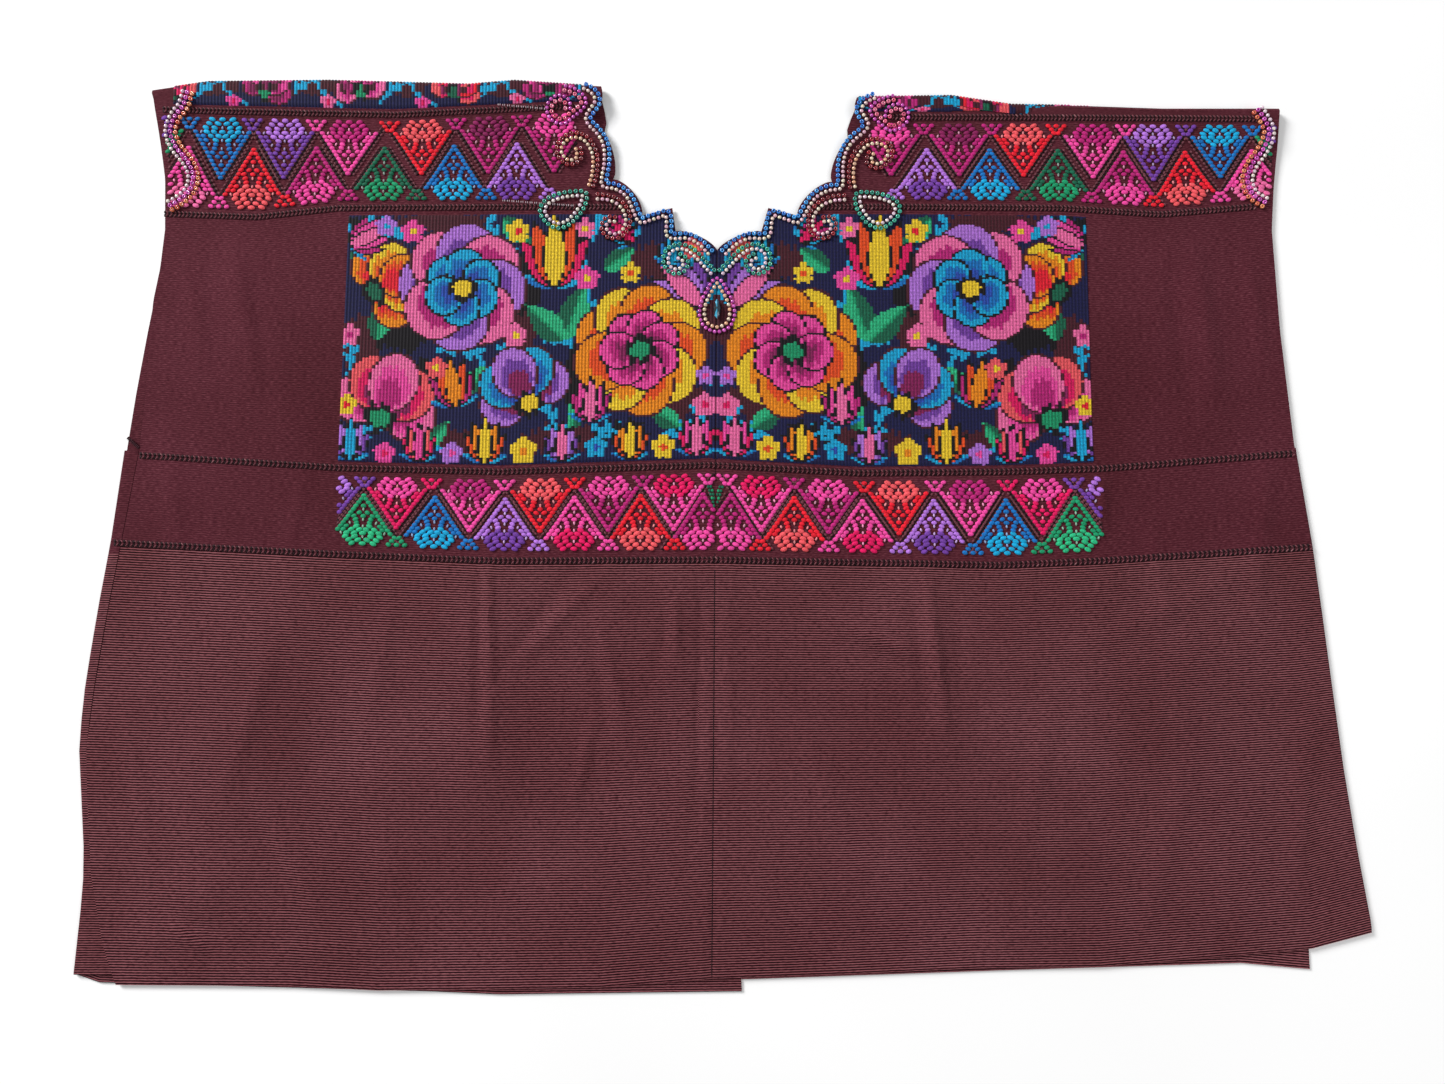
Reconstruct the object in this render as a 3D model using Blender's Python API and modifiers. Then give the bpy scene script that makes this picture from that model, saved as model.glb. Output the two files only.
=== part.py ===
# Huipil blouse laid flat, front up: two loom webs, each folded at the shoulder into a front and a back,
# joined down the centre and at the sides, with a scalloped neck hole and beaded trims sewn on top.
# Sizes are in millimetres until the last step. +X is to the right, +Y to the shoulders, +Z up.
import math

import bmesh
import bpy
import numpy as np
from mathutils import Vector
from mathutils.bvhtree import BVHTree

MM = 0.001

# Cloth: the wall, what is woven proud of it, and the clearances between layers and pieces
WALL = 1.2
PANEL_RISE = 0.7
CHAIN_RISE = 1.0
LAYER_GAP = 0.4
SEAM_GAP = 0.3
WRAP_RADIUS = 0.2
BACK_INSIDE = WALL
FRONT_INSIDE = WALL + LAYER_GAP

# Shoulder roll: height of its inside, how far it rounds out, and how far down the front it eases away
ROLL_TOP = 5.4
ROLL_DEPTH = 2.4
ROLL_EASE = 30.0
ROLL_STEPS = 5
ROLL_FRONT = 9.0
ROLL_REST = 12.0
ROLL_INSET = 1.5

# Woven panels: half widths across the chest and the shoulders, and the corded rows' half width
CHEST_HALF = 276.0
SHOULDER_HALF = 405.0
PANEL_STEP = 1.4
CHAIN_HALF = 3.6
PANEL_MARGIN = 5.2
PANEL_TOLERANCE = 0.1
ARMHOLE_END = 56.0
CHEST_COLUMNS = 9
BACK_ROWS = 13
FRONT_ROWS = {"shoulder_strip": 2, "shoulder_band": 4, "chest_panel": 8, "lower_band": 3, "skirt": 14}
SIDE_SHARES = (0.36, 0.72)
WRAP_TURNS = (-30, 30, 90)

# Where a row's height is read for the centre seam and for the outer edge
WEB_MIDDLE = 200.0
WEB_EDGE = 430.0

# Lines across the blouse, from the left selvedge to the right one, as (x, y)
LINES = {
    "fold": ((-430, 325), (-385, 332), (-295, 333), (-189, 330), (-155, 333), (-98, 329), (0, 325),
             (104, 320), (174, 321), (219, 314), (276, 313), (332, 311), (425, 311)),
    "chain_a": ((-425, 309), (-243, 305), (-121, 311), (0, 307), (113, 303), (257, 302), (400, 301)),
    "chain_b": ((-420, 229), (-345, 226), (-284, 233), (-135, 234), (133, 234), (254, 233), (329, 228),
                (420, 236)),
    "chain_c": ((-435, 47), (-277, 37), (-160, 34), (-6, 39), (102, 33), (204, 34), (275, 36), (435, 49)),
    "chain_d": ((-450, -17), (-275, -26), (-159, -31), (-6, -30), (101, -32), (202, -34), (273, -31),
                (440, -20)),
    "front_hem": ((-450, -325), (-298, -326), (-236, -329), (-152, -328), (-83, -327), (-5, -321),
                  (87, -318), (181, -314), (264, -313), (362, -305), (411, -301), (454, -290)),
    "back_hem_left": ((-448, -318), (-430, -324), (-200, -330), (-152, -332), (15, -330)),
    "back_hem_right": ((15, -322), (195, -316), (362, -311), (408, -315), (454, -318)),
}

# Lines up the blouse, as (y, x) or (y, width): the outer edges, the side wraps and the two centre seams
SIDE = {
    "left": ((-318, -448), (-289, -446), (-248, -445), (-221, -448), (-165, -454), (-123, -452),
             (-66, -446), (-19, -440), (58, -433), (95, -429), (141, -423), (187, -416), (217, -414),
             (256, -416), (326, -428)),
    "right": ((-290, 454), (-235, 447), (-179, 441), (-130, 437), (-66, 432), (-19, 428), (51, 420),
              (95, 417), (141, 414), (217, 412), (248, 415), (280, 419), (311, 421)),
}
WRAP_WIDTH = {
    "left": ((-325, 30), (-296, 17), (-250, 5), (-193, 5), (-123, 7), (-19, 8), (51, 11), (88, 9),
             (125, 5), (163, 1)),
    "right": ((-290, 44), (-130, 18), (56, 8), (120, 4), (200, 2)),
}
SEAM = {"front": ((-330, -5.5), (200, -2.0)), "back": ((-330, 15.5), (200, -2.0))}

# Soft creases that lift the front off the back, from (x, y) to (x, y), with their half width and height
CREASES = (
    {"start": (-160, -34), "end": (-166, -180), "spread": 22, "height": 2.2},
    {"start": (-78, -70), "end": (-66, -150), "spread": 18, "height": 1.6},
    {"start": (-30, -56), "end": (-36, -110), "spread": 14, "height": 1.2},
    {"start": (146, -44), "end": (158, -156), "spread": 20, "height": 2.4},
    {"start": (92, -76), "end": (140, -100), "spread": 16, "height": 1.5},
    {"start": (262, 36), "end": (276, -60), "spread": 22, "height": 1.6},
    {"start": (-352, 180), "end": (-318, 70), "spread": 26, "height": 1.8},
    {"start": (338, 190), "end": (352, 70), "spread": 26, "height": 2.0},
    {"start": (-330, -90), "end": (-360, -250), "spread": 34, "height": 2.0},
    {"start": (320, -110), "end": (352, -250), "spread": 36, "height": 2.2},
    {"start": (-392, -292), "end": (-360, -268), "spread": 16, "height": 1.4},
)

# Neck hole, left half from the shoulder down: where each scallop ends and how far it swells into the hole
NECK_SCALLOPS = (
    {"start": (-103, 340), "end": (-97.5, 303.5), "swell": 12.0},
    {"start": (-97.5, 303.5), "end": (-80, 255.5), "swell": 7.5},
    {"start": (-80, 255.5), "end": (-58, 227.3), "swell": 6.0},
    {"start": (-58, 227.3), "end": (-35.4, 233.2), "swell": 0.0},
    {"start": (-35.4, 233.2), "end": (-32.8, 215), "swell": 0.0},
    {"start": (-32.8, 215), "end": (-2, 200.5), "swell": 4.2},
)
BACK_NECK = ((-103, 340), (-90, 322), (-87, 310), (-85.5, 301), (-87.5, 291), (-86, 262), (-70, 241),
             (-60, 223), (-38, 209), (-20, 205), (-2, 196))
SCALLOP_STEPS = 7
SCALLOP_FULLNESS = 0.7
CUT_TOP = 20.0
CUT_FOOT = -5.0
CUT_OVERLAP = 0.05
NECK_TOP_OF_CHEST = 234.0
NECK_LEAN = 0.072
RIGHT_SHOULDER_SHARE = 0.915

# Beaded trims: ribbon sizes, and routes of the left-hand ones, mirrored for the right
BEAD_WIDTH = 5.2
BEAD_HEIGHT = 2.2
WAVE_WIDTH = 9.0
TRIM_CLEARANCE = 0.35
TRIM_REACH = 3.0
TRIM_STEP = 3.4
REACH_TURNS = 8
ROUTE_PARTS = 12
RAY_START = 1.0
EDGING = ((-101, 325.5), (-95.8, 322.6), (-92, 317.5), (-92.3, 312), (-95.8, 307.2), (-98.6, 302.2),
          (-96.6, 297.5), (-92, 293), (-87, 286), (-84.5, 277), (-84.6, 266), (-86, 257), (-86, 250.5),
          (-80, 249.6), (-73.5, 247), (-67.8, 242), (-64.3, 235), (-61.5, 228), (-58.5, 223), (-53, 224.5),
          (-46, 226.8), (-39.2, 228.3), (-37.6, 221), (-37.8, 212.2), (-32.5, 210.6), (-25, 211),
          (-18, 208.5), (-12.2, 204), (-7.2, 198.5))
SCROLLS = {
    "top_spiral": ((-116, 324), (-109.5, 322), (-104, 318), (-102, 313.5), (-105.4, 308.5),
                   (-111.5, 303.8), (-117, 299.5), (-123.5, 301), (-127.5, 306.5), (-126.5, 313),
                   (-121, 317), (-114.8, 314.5), (-114, 309)),
    "upper_spiral": ((-96, 250), (-94, 257), (-93, 267), (-94.5, 277), (-101, 286.5), (-111, 288.5),
                     (-119, 282.5), (-119.5, 274), (-113, 268), (-105.5, 271), (-106, 278.5)),
    "lower_spiral": ((-91, 241), (-83, 240.3), (-75.5, 237), (-70.3, 231), (-68.2, 223.5), (-70, 216),
                     (-75.5, 211.2), (-82.5, 211.8), (-86, 217.5), (-83.5, 223.5), (-78, 223.5)),
    "centre_scroll": ((-7.5, 185.5), (-12, 190.5), (-17.5, 196.5), (-24, 201.5), (-32, 202.5), (-38.8, 198),
                      (-39.5, 189.5), (-34.5, 184), (-27, 185.5), (-25.5, 192), (-30, 195.2)),
}
TEARDROP = ((-101, 242.8), (-109, 243.4), (-118, 242), (-127.5, 238), (-131.8, 231), (-128.5, 223.5),
            (-121, 218.8), (-113, 221), (-107, 227), (-102.5, 234))
CENTRE_DROP = ((-2, 176.5), (-7.5, 169), (-11.8, 160), (-13, 151), (-10, 143.2), (-2, 139.8), (6, 143.2),
               (9, 151), (7.8, 160), (3.5, 169))
DROP_BEAD = {"x": -2.0, "y": 155.0, "length": 15.0, "width": 5.4, "height": 4.0, "taper": 0.7, "reach": 4.0}
WAVES = {
    "left": ((-399, 321), (-402, 311), (-408, 303), (-411.5, 292), (-407, 280), (-398, 269), (-393, 258),
             (-395, 246), (-403, 238), (-409, 234.5)),
    "right": ((402.5, 307), (408, 298), (410.5, 289), (405.5, 277), (397.5, 266), (393.5, 254), (397, 243),
              (405.5, 237)),
}


def at(table, place):
    """Reads a table of (place, value) pairs, in rising order of place, between its rows."""
    places, values = zip(*table)
    return float(np.interp(place, places, values))


def side_sign(side):
    return -1.0 if side == "left" else 1.0


def crease_rise(x, y):
    """How far the creases lift the front at (x, y)."""
    total = 0.0
    for crease in CREASES:
        start, end = Vector(crease["start"]), Vector(crease["end"])
        along = end - start
        share = min(max((Vector((x, y)) - start).dot(along) / along.length_squared, 0.0), 1.0)
        away = (Vector((x, y)) - start - along * share).length / crease["spread"]
        total += crease["height"] * math.exp(-away * away)
    return total


def front_height(x, y):
    """Height of the front's inside: the shoulder roll easing down to the layer beneath, and the creases."""
    below_roll = max(at(LINES["fold"], x) - y, 0.0) / ROLL_EASE
    return FRONT_INSIDE + (ROLL_TOP - FRONT_INSIDE) * math.exp(-below_roll**2) + crease_rise(x, y)


def columns(inner, outer, sign):
    """X of each column of a row, from the centre seam outwards, with a close pair at each panel's edge."""
    chest, shoulder = sign * CHEST_HALF, sign * SHOULDER_HALF
    row = [inner + (chest - inner) * step / CHEST_COLUMNS for step in range(CHEST_COLUMNS + 1)]
    row.append(chest + sign * PANEL_STEP)
    row += [chest + (shoulder - chest) * share for share in SIDE_SHARES]
    row += [shoulder, shoulder + sign * PANEL_STEP, outer]
    return row


def rise_at(kind, x):
    """How far the outer face stands proud of plain cloth in a row of this kind."""
    if kind in ("ground", "chain"):
        return CHAIN_RISE if kind == "chain" else 0.0
    half_width = SHOULDER_HALF if kind == "shoulder" else CHEST_HALF
    return PANEL_RISE if abs(x) <= half_width + PANEL_TOLERANCE else 0.0


def spaced(upper, lower, count, kind):
    """Rows between two (line, shift) places, both included, as (upper, lower, share, kind)."""
    return [(upper, lower, step / (count - 1), kind) for step in range(count)]


def chain_rows(line):
    """A corded row: a crest between two feet in plain cloth."""
    crest, above, below = (line, 0.0), (line, CHAIN_HALF), (line, -CHAIN_HALF)
    return [(above, above, 0.0, "ground"), (crest, crest, 0.0, "chain"), (below, below, 0.0, "ground")]


def front_rows():
    """The front's rows from the shoulder down: strips of brocade between corded rows, then plain cloth."""
    margin, count = PANEL_MARGIN, FRONT_ROWS
    rows = spaced(("fold", -ROLL_FRONT), ("chain_a", margin), count["shoulder_strip"], "shoulder")
    rows += chain_rows("chain_a")
    rows += spaced(("chain_a", -margin), ("chain_b", margin), count["shoulder_band"], "shoulder")
    rows += chain_rows("chain_b")
    rows += spaced(("chain_b", -margin), ("chain_c", margin), count["chest_panel"], "chest")
    rows += chain_rows("chain_c")
    rows += spaced(("chain_c", -margin), ("chain_d", margin), count["lower_band"], "chest")
    rows += chain_rows("chain_d")
    return rows + spaced(("chain_d", -margin), ("front_hem", 0.0), count["skirt"], "ground")[1:]


def back_rows(side):
    """The back's rows from under the shoulder roll to its own hem."""
    return spaced(("fold", -ROLL_REST), ("back_hem_" + side, 0.0), BACK_ROWS, "ground")


def line_y(place, x):
    line, shift = place
    return at(LINES[line], x) + shift


def row_points(side, layer, row):
    """Inside points of one row of a web's front or back, with the proud weight of each."""
    upper, lower, share, kind = row
    sign = side_sign(side)
    reading = sign * WEB_MIDDLE
    middle = line_y(upper, reading) * (1 - share) + line_y(lower, reading) * share
    wrapped = (side, layer) in (("left", "back"), ("right", "front"))
    points = []
    inner = at(SEAM[layer], middle) + sign * SEAM_GAP / 2
    edge_y = line_y(upper, sign * WEB_EDGE) * (1 - share) + line_y(lower, sign * WEB_EDGE) * share
    outer = at(SIDE[side], edge_y)
    if wrapped:
        outer -= sign * (WALL + WRAP_RADIUS)
    else:
        outer -= sign * (at(WRAP_WIDTH[side], edge_y) + SEAM_GAP)
    for x in columns(inner, outer, sign):
        y = line_y(upper, x) * (1 - share) + line_y(lower, x) * share
        z = front_height(x, y) if layer == "front" else BACK_INSIDE
        points.append((Vector((x, y, z)), rise_at(kind, x)))
    return points, edge_y


def roll_row(side, step):
    """One row of the shoulder roll, turning from the front over to the back."""
    sign = side_sign(side)
    turn = math.pi / 2 - math.pi * step / ROLL_STEPS
    centre_z, radius_z = (ROLL_TOP + BACK_INSIDE) / 2, (ROLL_TOP - BACK_INSIDE) / 2
    edge_y = at(LINES["fold"], sign * WEB_EDGE)
    inner = at(SEAM["front"], edge_y) + sign * SEAM_GAP / 2
    outer = at(SIDE[side], edge_y) - sign * ROLL_INSET
    proud = PANEL_RISE if step < ROLL_STEPS - 1 else 0.0
    points = []
    for x in columns(inner, outer, sign):
        y = at(LINES["fold"], x) - WALL - PANEL_RISE - ROLL_DEPTH * (1 - math.cos(turn))
        point = Vector((x, y, centre_z + radius_z * math.sin(turn)))
        points.append((point, proud if rise_at("shoulder", x) else 0.0))
    return points


def wrap_points(side, row_start, edge_y):
    """Inside points past the outer column, where a layer bends round the side, over or under the other."""
    sign = side_sign(side)
    level, other = (BACK_INSIDE, FRONT_INSIDE) if side == "left" else (row_start.z, BACK_INSIDE)
    middle, radius = (level + other) / 2, (other - level) / 2
    width = at(WRAP_WIDTH[side], edge_y) - WALL - WRAP_RADIUS
    points = []
    for degrees in WRAP_TURNS:
        turn = math.radians(degrees)
        x = row_start.x + sign * WRAP_RADIUS * math.cos(turn)
        points.append(Vector((x, row_start.y, middle + radius * math.sin(turn))))
    points.append(Vector((row_start.x - sign * width, row_start.y, other)))
    return points


def web_object(side):
    """One web as an open sheet of its inside points, ready for its wall."""
    front = [row_points(side, "front", row) for row in front_rows()]
    back = [row_points(side, "back", row) for row in back_rows(side)]
    roll = [(roll_row(side, step), None) for step in range(ROLL_STEPS + 1)]
    rows = [(points, edge_y, "front") for points, edge_y in reversed(front)]
    rows += [(points, None, "roll") for points, _ in roll]
    rows += [(points, edge_y, "back") for points, edge_y in back]
    wrapped_layer = "back" if side == "left" else "front"

    sheet = bmesh.new()
    weights = []
    grid = []
    for points, edge_y, layer in rows:
        line = []
        for point, rise in points:
            line.append(sheet.verts.new(point * MM))
            weights.append(rise / CHAIN_RISE)
        if layer == wrapped_layer and edge_y < ARMHOLE_END:
            for point in wrap_points(side, points[-1][0], edge_y):
                line.append(sheet.verts.new(point * MM))
                weights.append(0.0)
        grid.append(line)
    for upper, lower in zip(grid, grid[1:]):
        for column in range(min(len(upper), len(lower)) - 1):
            corners = [upper[column], upper[column + 1], lower[column + 1], lower[column]]
            sheet.faces.new(corners if side == "right" else corners[::-1])
    mesh = bpy.data.meshes.new(side + "_web")
    sheet.to_mesh(mesh)
    sheet.free()
    web = bpy.data.objects.new(side + "_web", mesh)
    proud = web.vertex_groups.new(name="proud")
    for index, weight in enumerate(weights):
        if weight:
            proud.add([index], weight, "REPLACE")
    return web


def give_wall(sheet, thickness, thinnest, group=""):
    """Thickens an open sheet away from its inside, more where the group's weight is higher."""
    wall = sheet.modifiers.new("wall", "SOLIDIFY")
    wall.thickness = thickness * MM
    wall.offset = 1.0
    if group:
        wall.vertex_group = group
        wall.thickness_vertex_group = thinnest / thickness


def mirrored(point):
    """The same place on the blouse's right half, whose shoulder lies lower and leans out a little."""
    x, y = point
    seam, cusp = at(SEAM["front"], y), NECK_SCALLOPS[-1]["end"][1]
    above = max(y - NECK_TOP_OF_CHEST, 0.0)
    return (2 * seam - x + 2 * NECK_LEAN * max(y - cusp, 0.0), y - above * (1 - RIGHT_SHOULDER_SHARE))


def on_side(points, side):
    return points if side == "left" else [mirrored(point) for point in points]


def scallop_arc(scallop):
    """Points along one scallop, leaving out its last one."""
    start, end = Vector(scallop["start"]), Vector(scallop["end"])
    steps = SCALLOP_STEPS if scallop["swell"] else 1
    across = Vector((start.y - end.y, end.x - start.x)).normalized()
    arc = []
    for step in range(steps):
        share = step / steps
        swell = scallop["swell"] * (1 - (2 * share - 1) ** 2) ** SCALLOP_FULLNESS
        arc.append(tuple(start.lerp(end, share) + across * swell))
    return arc


def neck_cutter(name, left_half, low, high):
    """The neck hole's outline as a flat curve, thickened from the low height to the high one."""
    outline = list(left_half) + [mirrored(point) for point in reversed(left_half[:-1])]
    curve = bpy.data.curves.new(name, "CURVE")
    curve.dimensions = "2D"
    curve.fill_mode = "BOTH"
    curve.extrude = (high - low) / 2 * MM
    spline = curve.splines.new("POLY")
    spline.points.add(len(outline) - 1)
    for place, (x, y) in zip(spline.points, outline):
        place.co = (x * MM, y * MM, 0.0, 1.0)
    spline.use_cyclic_u = True
    return solid_from_curve(curve, name, (low + high) / 2)


def solid_from_curve(curve, name, height):
    """A curve object's closed mesh at a height, with its caps welded."""
    drawn = bpy.data.objects.new(name, curve)
    bpy.context.scene.collection.objects.link(drawn)
    bpy.context.view_layer.update()
    mesh = bpy.data.meshes.new_from_object(drawn.evaluated_get(bpy.context.evaluated_depsgraph_get()))
    bpy.data.objects.remove(drawn)
    shape = bmesh.new()
    shape.from_mesh(mesh)
    bmesh.ops.remove_doubles(shape, verts=shape.verts, dist=0.00001)
    bmesh.ops.translate(shape, verts=shape.verts, vec=(0.0, 0.0, height * MM))
    bmesh.ops.recalc_face_normals(shape, faces=shape.faces)
    shape.to_mesh(mesh)
    shape.free()
    solid = bpy.data.objects.new(name, mesh)
    solid.hide_render = True
    solid.display_type = "WIRE"
    return solid


def smooth_route(points, step, closed=False):
    """A Catmull-Rom curve through the points, as places a step apart."""
    points = [Vector(point) for point in points]
    count = len(points)
    fine = []
    for index in range(count if closed else count - 1):
        around = [index - 1, index, index + 1, index + 2]
        if closed:
            a, b, c, d = (points[place % count] for place in around)
        else:
            a, b, c, d = (points[min(max(place, 0), count - 1)] for place in around)
        for part in range(ROUTE_PARTS):
            t = part / ROUTE_PARTS
            bend = (2 * a - 5 * b + 4 * c - d) * t**2 + (3 * b - a - 3 * c + d) * t**3
            fine.append(0.5 * (2 * b + (c - a) * t + bend))
    fine.append(points[0] if closed else points[-1])
    lengths = np.cumsum([0.0] + [(b - a).length for a, b in zip(fine, fine[1:])])
    places = np.linspace(0.0, lengths[-1], max(int(lengths[-1] / step), 3) + 1)
    xs = np.interp(places, lengths, [point.x for point in fine])
    ys = np.interp(places, lengths, [point.y for point in fine])
    route = [Vector((x, y)) for x, y in zip(xs, ys)]
    return route[:-1] if closed else route


class Surface:
    """The top of the finished webs, read from straight above."""

    def __init__(self, webs):
        depsgraph = bpy.context.evaluated_depsgraph_get()
        self.trees = [BVHTree.FromObject(web, depsgraph) for web in webs]

    def height(self, x, y):
        best = None
        for tree in self.trees:
            hit = tree.ray_cast(Vector((x * MM, y * MM, RAY_START)), Vector((0.0, 0.0, -1.0)))[0]
            if hit is not None and (best is None or hit.z / MM > best):
                best = hit.z / MM
        return best

    def highest_near(self, x, y, reach):
        turns = [2 * math.pi * step / REACH_TURNS for step in range(REACH_TURNS)]
        around = [(0.0, 0.0)] + [(reach * math.cos(turn), reach * math.sin(turn)) for turn in turns]
        found = [self.height(x + dx, y + dy) for dx, dy in around]
        found = [height for height in found if height is not None]
        return max(found) if found else FRONT_INSIDE + WALL + PANEL_RISE


def ribbon(name, route, width, surface, closed=False):
    """A flat ribbon of beadwork that follows a route, each of its edges just clear of the cloth beneath."""
    count = len(route)
    sheet = bmesh.new()
    edges = []
    for index, place in enumerate(route):
        before = route[index - 1] if closed or index else place
        after = route[(index + 1) % count] if closed or index < count - 1 else place
        across = Vector((before.y - after.y, after.x - before.x)).normalized() * width / 2
        middle = surface.highest_near(place.x, place.y, TRIM_REACH)
        pair = []
        for edge in (place + across, place - across):
            height = max(surface.highest_near(edge.x, edge.y, TRIM_REACH), middle) + TRIM_CLEARANCE
            pair.append(sheet.verts.new(Vector((edge.x, edge.y, height)) * MM))
        edges.append(pair)
    last = count if closed else count - 1
    for index in range(last):
        (a, b), (c, d) = edges[index], edges[(index + 1) % count]
        sheet.faces.new((a, b, d, c))
    mesh = bpy.data.meshes.new(name)
    sheet.to_mesh(mesh)
    sheet.free()
    trim = bpy.data.objects.new(name, mesh)
    give_wall(trim, BEAD_HEIGHT, BEAD_HEIGHT)
    return trim


def drop_bead(surface):
    """The faceted drop that hangs in the centre teardrop."""
    size = DROP_BEAD
    base = surface.highest_near(size["x"], size["y"], size["reach"]) + TRIM_CLEARANCE
    shape = bmesh.new()
    bmesh.ops.create_uvsphere(shape, u_segments=8, v_segments=6, radius=0.5)
    for vert in shape.verts:
        taper = 1.0 - size["taper"] * max(vert.co.y, 0.0)
        vert.co = Vector((
            (size["x"] + vert.co.x * size["width"] * taper) * MM,
            (size["y"] + vert.co.y * size["length"]) * MM,
            (base + (vert.co.z + 0.5) * size["height"]) * MM,
        ))
    mesh = bpy.data.meshes.new("drop_bead")
    shape.to_mesh(mesh)
    shape.free()
    return bpy.data.objects.new("drop_bead", mesh)


def material(name, colour, roughness):
    """A plain finish in the piece's own colour."""
    made = bpy.data.materials.new(name)
    made.use_nodes = True
    shader = made.node_tree.nodes["Principled BSDF"]
    shader.inputs["Base Color"].default_value = (*colour, 1.0)
    shader.inputs["Roughness"].default_value = roughness
    return made


def place(collection, piece, finish):
    piece.data.materials.append(finish)
    collection.objects.link(piece)
    return piece


for old in list(bpy.data.objects):
    bpy.data.objects.remove(old)
blouse = bpy.data.collections.new("huipil_blouse")
cutters = bpy.data.collections.new("cutters")
bpy.context.scene.collection.children.link(blouse)
bpy.context.scene.collection.children.link(cutters)

cloth_finish = material("maroon_cloth", (0.075, 0.018, 0.028), 0.9)
bead_finish = material("glass_beads", (0.10, 0.32, 0.55), 0.25)
scroll_finish = material("scroll_beads", (0.62, 0.22, 0.30), 0.25)
wave_finish = material("wave_beads", (0.72, 0.30, 0.42), 0.25)

scallops = [point for scallop in NECK_SCALLOPS for point in scallop_arc(scallop)] + [NECK_SCALLOPS[-1]["end"]]
layer_split = FRONT_INSIDE - LAYER_GAP / 2
neck_cutters = [
    neck_cutter("neck_cut_front", scallops, layer_split - CUT_OVERLAP, CUT_TOP),
    neck_cutter("neck_cut_back", BACK_NECK, CUT_FOOT, layer_split + CUT_OVERLAP),
]
for cutter in neck_cutters:
    cutters.objects.link(cutter)

webs = []
for side in ("left", "right"):
    web = place(blouse, web_object(side), cloth_finish)
    give_wall(web, WALL + CHAIN_RISE, WALL, "proud")
    for cutter in neck_cutters:
        cut = web.modifiers.new("neck", "BOOLEAN")
        cut.operation = "DIFFERENCE"
        cut.solver = "EXACT"
        cut.object = cutter
    webs.append(web)
bpy.context.view_layer.update()
cloth_top = Surface(webs)

for side in ("left", "right"):
    edging = smooth_route(on_side(EDGING, side), TRIM_STEP)
    place(blouse, ribbon(side + "_neck_edging", edging, BEAD_WIDTH, cloth_top), bead_finish)
    for name, points in SCROLLS.items():
        scroll = smooth_route(on_side(points, side), TRIM_STEP)
        place(blouse, ribbon(side + "_" + name, scroll, BEAD_WIDTH, cloth_top), scroll_finish)
    loop = smooth_route(on_side(TEARDROP, side), TRIM_STEP, closed=True)
    place(blouse, ribbon(side + "_teardrop", loop, BEAD_WIDTH, cloth_top, closed=True), bead_finish)
    wave = smooth_route(WAVES[side], TRIM_STEP)
    place(blouse, ribbon(side + "_armhole_wave", wave, WAVE_WIDTH, cloth_top), wave_finish)
centre_loop = smooth_route(CENTRE_DROP, TRIM_STEP, closed=True)
place(blouse, ribbon("centre_teardrop", centre_loop, BEAD_WIDTH, cloth_top, closed=True), wave_finish)
place(blouse, drop_bead(cloth_top), bead_finish)
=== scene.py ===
import math

import bmesh
import bpy
import numpy as np
from mathutils import Matrix, Vector


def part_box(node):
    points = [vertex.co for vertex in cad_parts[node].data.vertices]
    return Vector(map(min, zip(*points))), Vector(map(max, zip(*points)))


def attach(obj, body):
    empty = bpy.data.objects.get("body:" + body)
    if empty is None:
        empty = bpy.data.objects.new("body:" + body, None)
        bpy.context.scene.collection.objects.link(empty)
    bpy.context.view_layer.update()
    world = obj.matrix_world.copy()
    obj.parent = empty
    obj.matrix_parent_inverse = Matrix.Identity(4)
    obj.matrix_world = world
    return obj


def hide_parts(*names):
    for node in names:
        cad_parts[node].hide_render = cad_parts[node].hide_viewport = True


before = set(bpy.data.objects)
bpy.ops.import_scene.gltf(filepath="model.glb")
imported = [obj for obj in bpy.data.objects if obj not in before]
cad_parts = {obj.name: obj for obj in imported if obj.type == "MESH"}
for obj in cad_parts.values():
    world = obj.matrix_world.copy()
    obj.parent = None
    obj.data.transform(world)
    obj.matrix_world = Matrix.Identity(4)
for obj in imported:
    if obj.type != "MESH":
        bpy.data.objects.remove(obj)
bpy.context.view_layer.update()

# The two loom webs
# Each is one length of maroon cotton, woven with fine ribs across and folded at the shoulder into a front and
# a back. They are joined down the centre and at the sides. On the left the back turns over the front.
MM = 0.001
WALL = 1.2
LAYER_GAP = 0.4
SEAM_GAP = 0.3
WRAP_RADIUS = 0.2
BACK_INSIDE = WALL
FRONT_INSIDE = WALL + LAYER_GAP
ROLL_TOP = 5.4
ROLL_DEPTH = 2.4
ROLL_EASE = 30.0
ROLL_FRONT = 9.0
ROLL_REST = 12.0
ROLL_INSET = 1.5
WEB_MIDDLE = 200.0
WEB_EDGE = 430.0
PANEL_RISE = 0.7
ARMHOLE_END = 56.0
RIB_PITCH = 1.7
ROW_PITCH = 2.5 * RIB_PITCH
WEB_COLUMNS = 162
EDGE_STEPS = (0.0, 1.2, 3.4, 8.0)
ROLL_STEPS = 12
BACK_ROW = 22.0
# The seam draws the cloth down along it and puffs it up beside it: height, distance and spread of each
SEAM_PULL = ((0.35, 6.0, 4.0), (-0.25, 0.0, 1.6))
WRAP_TURNS = (-60, -30, 0, 30, 60, 90)
WRAP_SHARES = (0.35, 0.7, 1.0)
WEB_CUT = (0.46, 1.31)
SKIRT_START = 0.362

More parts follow.
